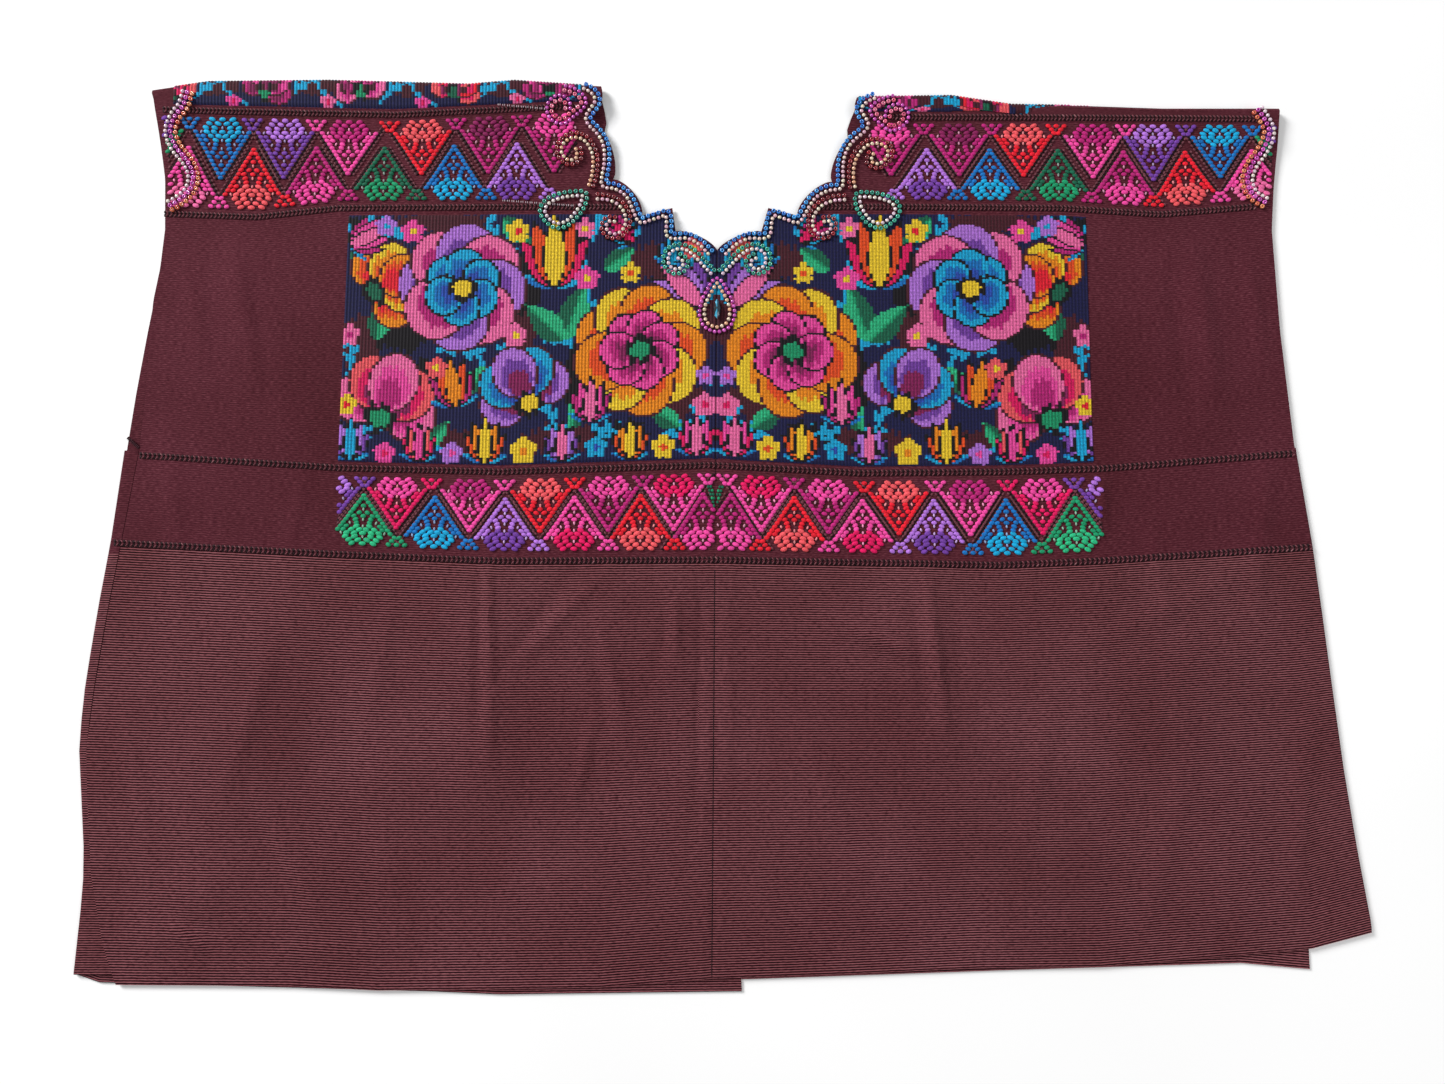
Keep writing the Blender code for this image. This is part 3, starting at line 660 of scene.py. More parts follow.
def chain_stitches(line, rng):
    """One corded row's holes and twists, as places, turns, sizes and colours."""
    start, end = CHAIN_ENDS[line]
    pitch = CHAIN_PITCHES[line]
    x = np.arange(start, end, pitch)
    places, turns, sizes, colours = [], [], [], []
    for upper in (1.0, -1.0):
        for part, form, shift in (("hole", CHAIN_HOLE, 0.0), ("twist", CHAIN_TWIST, pitch / 2)):
            across = x + shift + rng.uniform(-CHAIN_WANDER, CHAIN_WANDER, len(x))
            y = at(LINES[line], across) + upper * CHAIN_SPREAD
            places.append(np.stack([across, y, cloth_top(across, y) + CHAIN_LIFT[part]], axis=1))
            turns.append(np.full(len(x), -upper * CHAIN_LEAN if part == "twist" else 0.0))
            sizes.append(np.tile(form, (len(x), 1)) * ((pitch, 1.0, 1.0) if part == "hole" else 1.0))
            pale = rng.random(len(x))[:, None] < PALE_SHARE
            colours.append(np.where(pale, CORD_PALE, CORD_MID) if part == "twist"
                           else np.tile(CORD_HOLE_SHADE, (len(x), 1)))
    return (np.concatenate(places), np.concatenate(turns), np.concatenate(sizes),
            varied(rng, np.concatenate(colours), CHAIN_DYE_SPREAD))


def inside_neck(x, y, clearance):
    """True where (x, y) lies in the neck hole, grown by a clearance."""
    outline, centre = np.array(NECK_OUTLINE), np.array(NECK_CENTRE)
    away = outline - centre
    outline = outline + away / np.linalg.norm(away, axis=1)[:, None] * clearance
    inside = np.zeros(np.shape(x), dtype=bool)
    for (x0, y0), (x1, y1) in zip(outline, np.roll(outline, -1, axis=0)):
        if y0 != y1:
            inside ^= ((y0 > y) != (y1 > y)) & (x < (x1 - x0) * (y - y0) / (y1 - y0) + x0)
    return inside


rng = np.random.default_rng(11)
chains = [chain_stitches(line, rng) for line in CHAIN_ENDS]
places, turns, sizes, colours = (np.concatenate(parts) for parts in zip(*chains))
shown = ~inside_neck(places[:, 0], places[:, 1], NECK_CLEAR["cord"])
for side in ("left", "right"):
    own = shown & (web_of(places[:, 0], places[:, 1]) == side)
    cords = sewn(side + "_corded_rows", places[own], turns[own], sizes[own], colours[own], THREAD_FINISH)
    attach(cords, "root")

# Triangle bands
# Upright and hanging triangles in bright cotton, brocaded over the shoulders and below the chest panel.
# Each stitch is a fat float that stands proud. The zigzag between them is twined in the ground's maroon.
TRIANGLE_ROWS = 15
HALF_COLUMNS = 27
TRIANGLE_PITCH = 49.4
STITCH_LEAN = math.radians(20)
BAR_LEAN = math.radians(50)
FLOATS = {"body": (4.3, 3.15, 1.8), "cap": (5.3, 3.4, 2.0), "eye": (1.5, 2.6, 1.3), "cell": (4.2, 3.1, 0.7),
          "hook": (3.2, 1.9, 1.2), "fleck": (2.0, 2.5, 1.3)}
FLOAT_LIFT = {"body": 0.6, "cap": 0.7, "eye": 0.7, "cell": 0.05, "hook": 0.4, "fleck": 0.7}
DYES = {name: linear(*shown) for name, shown in {
    "night": (26, 26, 74), "black": (20, 14, 22), "maroon": (78, 26, 40), "bar": (40, 10, 18),
    "twist": (116, 62, 72), "cyan": (20, 176, 228), "blue": (22, 120, 200), "royal": (44, 82, 184),
    "pink": (252, 78, 170), "rose": (255, 116, 176), "magenta": (198, 36, 126), "plum": (142, 30, 92),
    "crimson": (240, 20, 102), "red": (246, 30, 52), "coral": (255, 96, 104), "flame": (248, 84, 32),
    "orange": (254, 148, 24), "yellow": (254, 214, 48), "purple": (124, 68, 172),
    "lilac": (188, 122, 228), "green": (26, 158, 108), "leaf": (22, 106, 78), "mint": (46, 192, 134),
}.items()}

# The triangle by rows from its point to its base: half columns off the middle, on both sides
TRIANGLE_CHART = (
    {"body": (0,)},
    {"body": (0.9,)},
    {"body": (1.9,)},
    {"body": (0, 3)},
    {"body": (3.9,), "eye": (0,)},
    {"body": (1.6, 4.9)},
    {"body": (0, 3.7, 5.8)},
    {"body": (3, 6.8), "eye": (0,)},
    {"body": (2.6, 7.8), "eye": (5.2,)},
    {"body": (6.6, 8.8), "cap": (2.6,), "eye": (0,)},
    {"body": (7.7, 9.8), "cap": (1.4, 4.6)},
    {"body": (10.9,), "cap": (0, 3.4, 6.4), "eye": (8.6,)},
    {"cap": (3.2, 6.8), "eye": (0,)},
    {"cap": (1.8, 5.4)},
    {"cap": (0, 4.2)},
)
CROWN_CHART = {12: (-0.9, 0.9), 13: (-1.9, 1.9), 14: (-3.2, 0, 3.2)}
EDGE_MARGIN = 5.0
EYE_PALE = 0.3
FLOAT_SPREAD = 0.06
FLOAT_DYE_SPREAD = 0.12
FLOAT_WANDER = 0.08
SEAM_CLEAR = 1.6
BAR_SLOPE = 0.98
BAR_GAP = 1.75
BAR_PARTS = (("cell", "bar", 0.0, 0.0), ("hook", "twist", -0.75, 0.3), ("hook", "twist", 0.75, -0.2))

# Each triangle from the blouse's edge to its middle: the way it points, and the dyes of its body and its cap
LOWER_DYES = (
    ("down", "purple", "lilac"), ("up", "green", "mint"), ("down", "crimson", "pink"),
    ("up", "blue", "cyan"), ("down", "pink", "magenta"), ("up", "lilac", "purple"),
    ("down", "red", "coral"), ("up", "pink", "crimson"), ("down", "magenta", "pink"),
    ("up", "red", "coral"), ("down", "pink", "crimson"), ("up", "magenta", "pink"),
)
SHOULDER_DYES = (
    ("down", "green", "purple"), ("up", "pink", "rose"), ("down", "blue", "cyan"),
    ("up", "red", "coral"), ("down", "purple", "lilac"), ("up", "magenta", "pink"),
    ("down", "pink", "magenta"), ("up", "leaf", "green"), ("down", "red", "coral"),
    ("up", "blue", "cyan"), ("down", "magenta", "plum"), ("up", "lilac", "purple"),
    ("down", "magenta", "pink"),
)


def both_halves(dyes, left, right):
    """The triangles of a band from left to right, from the places of their points across the blouse."""
    return [(x, *dye) for x, dye in zip(left + right, dyes + dyes[::-1])]


LOWER_TRIANGLES = both_halves(
    LOWER_DYES,
    (-282, -257.6, -233.6, -206, -180.6, -155.2, -129.8, -105.1, -80.4, -57.2, -33.2, -12),
    (8.2, 30, 53.9, 78.6, 103.3, 129.4, 154.8, 181, 207.1, 233.3, 256.9, 281),
)
SHOULDER_TRIANGLES = both_halves(
    SHOULDER_DYES,
    (-424, -398, -373, -349, -326, -302, -278, -251, -223, -199, -173, -152, -124),
    (128, 155, 179, 202, 227, 253, 279, 302, 324, 348, 374, 398, 422),
)
CENTRE_V_HEIGHT = 20.0
CENTRE_V = tuple((hand * x, row, dye) for hand in (-1, 1) for x, row, dye in (
    (5.2, 3, "leaf"), (3.2, 3, "leaf"), (4.2, 4, "leaf"), (2.2, 4, "green"), (3.4, 5, "leaf"),
    (1.5, 5, "leaf"), (2.4, 6, "green"), (0.9, 6, "leaf"), (1.6, 7, "leaf"), (1.0, 8, "leaf")))
BANDS = {
    "shoulder_band": {"top": ("chain_a", -6.5), "foot": ("chain_b", 7.0), "rows": 22,
                      "left": (-426, -108), "right": (112, 420), "triangles": SHOULDER_TRIANGLES,
                      "crowns": {"up": 1, "down": -1}},
    "lower_band": {"top": ("chain_c", -7.5), "foot": ("chain_d", 8.5), "rows": 20,
                   "left": (-276, -3.4), "right": (-2.0, 275), "triangles": LOWER_TRIANGLES,
                   "crowns": {"up": 1, "down": 1},
                   "centre": CENTRE_V},
}


def band_height(band, row, x):
    share = row / (band["rows"] - 1)
    (top, above), (foot, below) = band["top"], band["foot"]
    return (at(LINES[top], x) + above) * (1 - share) + (at(LINES[foot], x) + below) * share


def triangle_floats(band, triangle):
    """One triangle's floats, and the twined bar along each side, as (x, row, kind, dye, lean)."""
    middle, way, body, cap = triangle
    step = TRIANGLE_PITCH / HALF_COLUMNS
    upright = 1 if way == "up" else -1
    floats = []
    for place in range(TRIANGLE_ROWS):
        row = band["rows"] - TRIANGLE_ROWS + place if way == "up" else TRIANGLE_ROWS - 1 - place
        for hand in (-1, 1):
            for kind, dye, shift, rise in BAR_PARTS:
                x = middle + hand * (BAR_SLOPE * place + BAR_GAP + shift) * step
                floats.append((x, row + rise * upright, kind, dye, -hand * upright * BAR_LEAN))
        for kind, offsets in TRIANGLE_CHART[place].items():
            dye = cap if kind == "cap" else body
            for offset in offsets:
                for hand in ((-1, 1) if offset else (1,)):
                    lean = -hand * upright * STITCH_LEAN if offset else 0.0
                    floats.append((middle + hand * offset * step, row, kind, dye, lean))
        for offset in CROWN_CHART.get(place, ()):
            inward = -math.copysign(HALF_COLUMNS / 2, middle) * band["crowns"][way]
            x = middle + (inward + offset) * step
            floats.append((x, row, "body", body, math.copysign(STITCH_LEAN, offset) if offset else 0.0))
    seam = seam_at(CENTRE_V_HEIGHT)
    return [each for each in floats if (each[0] - seam) * math.copysign(1.0, middle - seam) > SEAM_CLEAR]


def band_stitches(band, rng):
    """Every float of a band, and whether it is one of the raised bright ones."""
    floats = [each for triangle in band["triangles"] for each in triangle_floats(band, triangle)]
    seam = seam_at(CENTRE_V_HEIGHT)
    floats += [(seam + x, row, "fleck", dye, 0.0) for x, row, dye in band.get("centre", ())]
    x = np.array([item[0] for item in floats])
    rows = np.clip(np.array([item[1] for item in floats]), 0, band["rows"] - 1)
    y = band_height(band, rows, x)
    kinds = np.array([item[2] for item in floats])
    sizes = np.array([FLOATS[kind] for kind in kinds])
    sizes = sizes * rng.uniform(1 - FLOAT_SPREAD, 1 + FLOAT_SPREAD, sizes.shape)
    z = cloth_top(x, y) + np.array([FLOAT_LIFT[kind] for kind in kinds])
    bright = (kinds != "cell") & (kinds != "hook")
    colours = varied(rng, [DYES[item[3]] for item in floats], FLOAT_DYE_SPREAD)
    pale = (kinds == "eye")[:, None] * EYE_PALE
    colours = colours * (1 - pale) + pale
    leans = np.array([item[4] for item in floats]) + rng.uniform(-FLOAT_WANDER, FLOAT_WANDER, len(floats))
    on_band = np.zeros(len(x), dtype=bool)
    for side in ("left", "right"):
        on_band |= (x > band[side][0]) & (x < band[side][1])
    on_web = (x > at(SIDE["left"], y) + EDGE_MARGIN) & (x < at(SIDE["right"], y) - EDGE_MARGIN)
    kept = on_band & on_web & ~inside_neck(x, y, NECK_CLEAR["float"])
    return [part[kept] for part in (np.stack([x, y, z], axis=1), leans, sizes, colours, bright)]


bands = {side: [] for side in ("left", "right")}
for title, band in BANDS.items():
    places, turns, sizes, colours, bright = band_stitches(band, rng)
    for side in ("left", "right"):
        for part, wanted, rounds in (("twining", ~bright, 1), ("triangles", bright, 2)):
            own = (web_of(places[:, 0], places[:, 1]) == side) & wanted
            piece = sewn(f"{side}_{title}_{part}", places[own], turns[own], sizes[own], colours[own],
                         THREAD_FINISH, rounds)
            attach(piece, "root")
            bands[side].append(piece.name)

# Chest panel and shoulder strip
# Solid brocade: vertical cords of bright cotton packed over the web. The design is a generic mirrored one
# of double blooms, side-seen blooms, lilies and tendrils, counted on the cords like a chart.
CORD_PITCH = 2.45
CORD_QUADS = 3
# Painted shade: each cord's side quads and every other pass are darkened in colour, as shade falls in the
# grooves between them
CORD_PAINTED_SHADE = (0.58, 1.0, 0.82)
PASS_PAINTED_SHADE = (1.0, 0.86)
CORD_RELIEF = 0.75
CORD_BASE = 0.2
CORD_ROUND = 0.7
RIM = -0.1
CHEST_REACH = (0.2, 275.0)
CHEST_SEAM = -2.0
CHEST_PASSES = 137
CHEST_PASS_HEIGHT = 1.35
CHEST_FIRST_PASS = 42
CHEST_CLEAR = {"foot": 4.6, "top": 5.4}
STRIP_REACH = (104.0, 411.0)
STRIP_CLEAR = 4.2
STRIP_PASS_HEIGHT = 1.6
STRIP_PASSES = 9
STRIP_END_TURN = -math.pi * 0.3
# How many of the strip's passes lie behind the fold, by distance from the seam
STRIP_BEHIND = {"left": ((100, 0), (420, 0)),
                "right": ((170, 0), (217, 6), (256, 12), (285, 14), (420, 14))}
DYE_NAMES = list(DYES)
DYE_VALUES = np.array([DYES[name] for name in DYE_NAMES])


class Chart:
    """A brocade chart: a dye for each cord and pass, placed in millimetres from the seam and up the web."""

    def __init__(self, across, up, ground, seed):
        self.across, self.up = np.meshgrid(across, up)
        self.rag = np.random.default_rng(seed).uniform(-1.0, 1.0, len(across))[None, :]
        self.dye = np.full(self.across.shape, DYE_NAMES.index(ground))

    def fill(self, where, dye):
        self.dye[where] = DYE_NAMES.index(dye)

    def oval(self, spot, half, turn, dye, ragged=0.0):
        """An oval at an angle. Ragged shifts it from cord to cord, as dyes interlock in the weave."""
        dx, dy = self.across - spot[0], self.up - spot[1] + ragged * self.rag
        along, side = dx * math.cos(turn) + dy * math.sin(turn), dy * math.cos(turn) - dx * math.sin(turn)
        self.fill((along / half[0]) ** 2 + (side / half[1]) ** 2 < 1.0, dye)

    def petal(self, base, turn, length, width, dyes, outline="black"):
        """A petal from its base out: a dark outline, then each dye a step smaller and nearer the base."""
        for step, dye in enumerate((outline,) + tuple(dyes)):
            grown = 1.5 if step == 0 else 0.0
            shrink = 1.0 if step == 0 else 1.0 - 0.24 * (step - 1)
            reach = length * (0.54 - 0.1 * max(step - 1, 0))
            spot = (base[0] + reach * math.cos(turn), base[1] + reach * math.sin(turn))
            half = (0.46 * length * shrink + grown, 0.5 * width * shrink + grown)
            self.oval(spot, half, turn, dye, 0.0 if step < 2 else 2.6)

    def peony(self, spot, radius, petals, outer, inner, heart, start):
        """A double bloom: a ring of wide petals, a smaller ring over it, and a ragged heart."""
        width = 2.5 * radius * math.sin(math.pi / petals)
        for petal in range(petals):
            turn = start + 2 * math.pi * petal / petals
            self.petal(spot, turn, radius, width, outer[petal % len(outer)], "maroon")
        for petal in range(petals - 2):
            turn = start + 0.5 + 2 * math.pi * petal / (petals - 2)
            self.petal(spot, turn, radius * 0.6, width * 0.62, inner)
        self.oval(spot, (radius * 0.23, radius * 0.2), 0.0, "black", 3.0)
        self.oval(spot, (radius * 0.15, radius * 0.13), 0.0, heart, 1.0)

    def poppy(self, spot, radius, turn, light, dark, heart):
        """A bloom seen from the side: wide back petals, then two that cup the heart."""
        for lean, reach, dyes in ((1.35, 0.95, dark), (-1.35, 0.95, dark), (0.62, 1.05, light),
                                  (-0.62, 1.05, light), (0.0, 1.1, dark)):
            self.petal(spot, turn + lean, radius * reach, radius * 0.86, dyes, "maroon")
        under = (spot[0] - 0.1 * radius * math.cos(turn), spot[1] - 0.1 * radius * math.sin(turn))
        self.oval(under, (radius * 0.3, radius * 0.24), turn + 1.57, "black", 3.4)
        self.oval(under, (radius * 0.2, radius * 0.15), turn + 1.57, heart, 1.2)

    def lily(self, base, turn, length, dyes):
        """A flower of narrow pointed petals that fan out of two curled leaves."""
        for lean in (-1.25, 1.25):
            self.leaf(base, turn + lean, length * 0.6, length * 0.17, "cyan", "blue")
        for lean, reach, dye in ((-0.62, 0.82, dyes[0]), (0.62, 0.82, dyes[0]), (-0.3, 0.98, dyes[1]),
                                 (0.3, 0.98, dyes[1]), (0.0, 1.06, dyes[2])):
            self.leaf(base, turn + lean, length * reach, length * 0.3, dye, dye, outline=True)

    def leaf(self, base, turn, length, width, light, dark, outline=False, vein=None):
        """A pointed leaf or petal, lighter on one side of its rib."""
        dx, dy = self.across - base[0], self.up - base[1]
        along = (dx * math.cos(turn) + dy * math.sin(turn)) / length
        side = dy * math.cos(turn) - dx * math.sin(turn)
        for grown, first, second in (((1.3, "black", "black"),) if outline else ()) + ((0.0, light, dark),):
            half = width / 2 * np.sin(np.pi * np.clip(along, 0.0, 1.0) ** 0.75) + grown
            inside = (along > 0) & (along < 1.0 + grown / length) & (np.abs(side) < half)
            self.fill(inside & (side >= 0), first)
            self.fill(inside & (side < 0), second)
        if vein:
            self.fill((along > 0.05) & (along < 0.85) & (np.abs(side) < 0.9), vein)

    def tendril(self, base, turn, length, curl, leaves, size, thick):
        """A thin stem that bends by the curl as it grows, with small leaves to both sides."""
        (x, y), apart = base, max(int(length / leaves), 1)
        for place in range(int(length)):
            bend = turn + curl * place / length
            x, y = x + math.cos(bend), y + math.sin(bend)
            self.fill(np.hypot(self.across - x, (self.up - y) * 0.8) < thick, "cyan")
            if place and place % apart == 0:
                hand = 1 if place // apart % 2 else -1
                self.leaf((x, y), bend + hand * 0.85, size, size * 0.5, "cyan", "cyan")

    def blossom(self, spot, radius, dye, eye, petals=5):
        """A small flower of round petals."""
        for petal in range(petals):
            turn = math.pi / 2 + 2 * math.pi * petal / petals
            self.oval((spot[0] + radius * 0.6 * math.cos(turn), spot[1] + radius * 0.6 * math.sin(turn)),
                      (radius * 0.44, radius * 0.42), turn, dye)
        self.oval(spot, (radius * 0.3, radius * 0.3), 0.0, eye)


ORANGE = ("orange", "flame", "red")
YELLOW = ("yellow", "orange", "flame")
PINK = ("rose", "pink", "magenta")
CRIMSON = ("coral", "crimson", "plum")
MAGENTA = ("pink", "magenta", "plum")
VIOLET = ("lilac", "purple", "plum")
BLUE = ("cyan", "blue", "royal")

# The chest panel's motifs, by places from the seam and up the web. Spots of ground as (place, half size)
CHEST_MAROON = (
    ((30, 84), (28, 12)), ((112, 60), (30, 10)), ((146, 150), (16, 26)), ((262, 128), (14, 22)),
    ((40, 190), (28, 14)), ((206, 222), (34, 9)), ((8, 150), (12, 22)), ((190, 60), (22, 9)),
)
CHEST_BLACK = (
    ((100, 104), (12, 26)), ((142, 176), (13, 24)), ((232, 136), (22, 12)), ((114, 208), (16, 12)),
    ((70, 62), (18, 7)), ((262, 216), (16, 9)), ((214, 98), (9, 20)),
)
# Tendrils as (foot, turn, length, curl), leaves as (foot, turn, length, width)
CHEST_TENDRILS = (
    ((3, 98), 0.3, 30, 1.4), ((98, 150), 2.1, 36, -1.2), ((104, 58), 0.5, 36, 1.0),
    ((166, 70), 2.6, 30, -1.3), ((206, 124), 2.7, 36, 1.2), ((272, 104), 2.2, 34, -1.5),
    ((148, 200), 0.2, 34, 1.2), ((226, 208), 0.1, 40, 0.9), ((92, 206), 1.2, 22, 1.6),
    ((3, 184), 0.9, 30, -1.5), ((40, 58), 2.4, 30, 1.2), ((264, 52), 1.9, 30, 1.0),
    ((234, 182), 1.2, 34, -1.4), ((66, 58), 0.9, 22, -1.2), ((150, 112), 0.9, 30, 1.4),
    ((200, 52), 0.7, 30, 1.2), ((128, 130), 2.4, 24, 1.3), ((8, 60), 0.8, 24, 1.4),
)
CHEST_LEAVES = (
    ((112, 132), 1.9, 46, 22), ((112, 132), 0.75, 40, 20), ((208, 138), 1.1, 36, 18),
    ((158, 112), -0.5, 40, 17), ((250, 132), 1.7, 34, 17), ((26, 66), 0.6, 30, 15),
    ((96, 92), -1.2, 32, 15), ((272, 190), 2.5, 34, 17), ((160, 224), -2.4, 32, 16),
    ((212, 54), 2.3, 26, 13), ((84, 184), 2.5, 30, 15),
)
# Lilies along the foot as (place, height, length, dyes), and blossoms as (place, radius, dye, eye)
CHEST_FOOT_LILIES = (
    (14, 45, 28, ("crimson", "pink", "rose")), (62, 44, 27, ("flame", "orange", "yellow")),
    (112, 44, 26, ("purple", "lilac", "rose")), (168, 44, 30, ("flame", "orange", "yellow")),
    (216, 44, 25, ("crimson", "coral", "pink")), (266, 44, 28, ("purple", "lilac", "cyan")),
)
CHEST_BLOSSOMS = (
    ((38, 52), 9, "yellow", "flame"), ((87, 53), 8, "cyan", "royal"), ((140, 52), 10, "yellow", "orange"),
    ((241, 49), 8, "pink", "crimson"), ((8, 82), 9, "rose", "crimson"), ((148, 136), 9, "rose", "yellow"),
    ((96, 178), 9, "pink", "yellow"), ((205, 112), 8, "coral", "yellow"),
    ((270, 136), 8, "rose", "magenta"), ((148, 214), 9, "yellow", "red"), ((226, 214), 9, "pink", "yellow"),
    ((192, 50), 8, "lilac", "pink"), ((18, 200), 9, "coral", "yellow"), ((64, 182), 8, "yellow", "flame"),
    ((246, 218), 8, "lilac", "cyan"), ((98, 216), 8, "rose", "yellow"), ((270, 84), 8, "yellow", "red"),
    ((8, 104), 7, "lilac", "pink"),
)


def chest_chart(across, up):
    """The chest panel's own design, from the seam outwards and from the corded row below upwards."""
    chart = Chart(across, up, "night", 5)
    for spots, dye in ((CHEST_MAROON, "maroon"), (CHEST_BLACK, "black")):
        for spot, half in spots:
            chart.oval(spot, half, 0.0, dye, 4.0)
    for base, turn, length, curl in CHEST_TENDRILS:
        chart.tendril(base, turn, length, curl, 5, 10.0, 1.5)
    for base, turn, length, width in CHEST_LEAVES:
        chart.leaf(base, turn, length, width, "mint", "leaf", vein="green")
    chart.poppy((244, 78), 41, 1.9, CRIMSON, PINK, "green")
    chart.poppy((250, 170), 35, 2.6, YELLOW, ORANGE, "leaf")
    chart.poppy((138, 90), 36, 1.1, BLUE, VIOLET, "yellow")
    chart.lily((120, 172), 1.55, 52, ("crimson", "flame", "yellow"))
    chart.lily((10, 156), 0.8, 44, ("purple", "lilac", "rose"))
    chart.peony((56, 124), 49, 9, (ORANGE, YELLOW), MAGENTA, "green", 0.4)
    petals = (("lilac", "purple", "royal"), ("rose", "magenta", "purple"))
    chart.peony((188, 172), 47, 8, petals, BLUE, "yellow", 0.1)
    chart.lily((92, 72), 1.6, 30, ("magenta", "pink", "rose"))
    chart.lily((62, 206), 0.75, 24, ("cyan", "magenta", "crimson"))
    chart.lily((36, 186), 1.9, 24, ("blue", "cyan", "cyan"))
    chart.lily((272, 204), 2.7, 30, ("magenta", "pink", "rose"))
    chart.lily((190, 84), 1.4, 34, ("magenta", "flame", "orange"))
    for place, height, length, dyes in CHEST_FOOT_LILIES:
        chart.lily((place, height), 1.57, length, dyes)
    for spot, radius, dye, eye in CHEST_BLOSSOMS:
        chart.blossom(spot, radius, dye, eye)
    return chart.dye


STRIP_TENDRILS = ((13, 1, 0.45, 44, 0.7), (-13, 3, 2.5, 30, -1.0), (30, 20, -0.6, 34, 0.8))


def strip_chart(across, up):
    """The shoulder strip's own design: side-seen blooms and thin tendrils on navy, cut short by the fold."""
    chart = Chart(across, up, "night", 9)
    looks = ((MAGENTA, ("magenta", "plum", "plum"), "green"), (("red", "crimson", "plum"), CRIMSON, "leaf"),
             (("plum", "magenta", "plum"), PINK, "green"))
    for turn, centre in enumerate(np.arange(128, 430, 71.0)):
        chart.oval((centre + 34, 16), (15, 7), 0.0, "maroon", 3.0)
        for shift, up_web, angle, length, curl in STRIP_TENDRILS:
            chart.tendril((centre + shift, up_web), angle, length, curl, 3, 5.0, 0.95)
        light, dark, heart = looks[turn % len(looks)]
        chart.poppy((centre, 12), 20, 1.4 + 0.5 * (turn % 2), light, dark, heart)
        chart.blossom((centre + 24, 4), 6, "pink" if turn % 2 else "rose", "crimson")
    return chart.dye


def brocade_mesh(name, surface, dyes, hole):
    """A corded sheet from a grid of outer points. Each cell takes its dye, darkened by painted shade in the
    grooves between cords and on every other pass. Cells in the hole are left out.
    """
    rows, columns = surface.shape[:2]
    vertices = surface.reshape(-1, 3) * MM
    index = np.arange(rows * columns).reshape(rows, columns)
    quads = np.stack([index[:-1, :-1], index[:-1, 1:], index[1:, 1:], index[1:, :-1]], axis=-1)
    quads = quads.reshape(-1, 4)
    cells = np.repeat(dyes, CORD_QUADS, axis=1).reshape(-1)
    passes = np.resize(PASS_PAINTED_SHADE, len(dyes))
    groove_shade = (passes[:, None] * np.tile(CORD_PAINTED_SHADE, dyes.shape[1])[None, :]).ravel()
    kept = ~hole.reshape(-1)
    quads, cells, groove_shade = quads[kept], cells[kept], groove_shade[kept]
    corners = vertices[quads]
    normal = np.cross(corners[:, 1] - corners[:, 0], corners[:, 3] - corners[:, 0])
    if normal[:, 2].mean() < 0:
        quads = quads[:, ::-1]
    mesh = bpy.data.meshes.new(name)
    mesh.from_pydata(vertices.tolist(), [], quads.tolist())
    colour = mesh.color_attributes.new(name="thread_colour", type="FLOAT_COLOR", domain="CORNER")
    colour.data.foreach_set("color", np.repeat(cells_colour(cells, groove_shade), 4, axis=0).ravel())
    mesh.shade_smooth()
    return mesh


def cells_colour(cells, groove_shade):
    """The dye of each cell, a little uneven as hand-spun yarn is, and darker by painted shade in a cord's
    groove and on every other pass.
    """
    colours = varied(np.random.default_rng(23), DYE_VALUES[cells], 0.1)
    colours[:, :3] *= groove_shade[:, None]
    return colours


def rim_drop(height):
    """Lowers the grid's outermost rows and its last column to the web."""
    height[0], height[-1], height[:, -1] = RIM, RIM, RIM
    return height


def corded_columns(reach):
    """Distances from the seam of every column of a corded sheet, and the height of each."""
    cords = int((reach[1] - reach[0]) / CORD_PITCH)
    shares = np.arange(CORD_QUADS) / CORD_QUADS
    heights = CORD_BASE + CORD_RELIEF * np.sin(np.pi * shares) ** CORD_ROUND
    columns = (reach[0] + CORD_PITCH * (np.arange(cords)[:, None] + shares[None, :])).ravel()
    columns = np.append(columns, reach[0] + CORD_PITCH * cords)
    return columns, np.append(np.tile(heights, cords), heights[0]), cords


def chest_panel(side):
    columns, heights, cords = corded_columns(CHEST_REACH)
    up_share = np.linspace(0.0, 1.0, CHEST_PASSES + 1)
    x = side_sign(side) * columns[None, :] + CHEST_SEAM
    foot, top = at(LINES["chain_c"], x) + CHEST_CLEAR["foot"], at(LINES["chain_b"], x) - CHEST_CLEAR["top"]
    y = foot * (1 - up_share[:, None]) + top * up_share[:, None]
    x = seam_at(y) + side_sign(side) * columns[None, :]
    height = rim_drop(np.tile(heights, (CHEST_PASSES + 1, 1)))
    surface = np.stack([x, y, cloth_top(x, y) + height], axis=2)
    chart = chest_chart(CHEST_REACH[0] + CORD_PITCH * (np.arange(cords) + 0.5),
                        CHEST_FIRST_PASS + CHEST_PASS_HEIGHT * (np.arange(CHEST_PASSES) + 0.5))
    middle_x, middle_y = (x[:-1, :-1] + x[1:, 1:]) / 2, (y[:-1, :-1] + y[1:, 1:]) / 2
    hole = inside_neck(middle_x, middle_y, NECK_CLEAR["chest"])
    return brocade_mesh(side + "_chest_panel", surface, chart, hole)


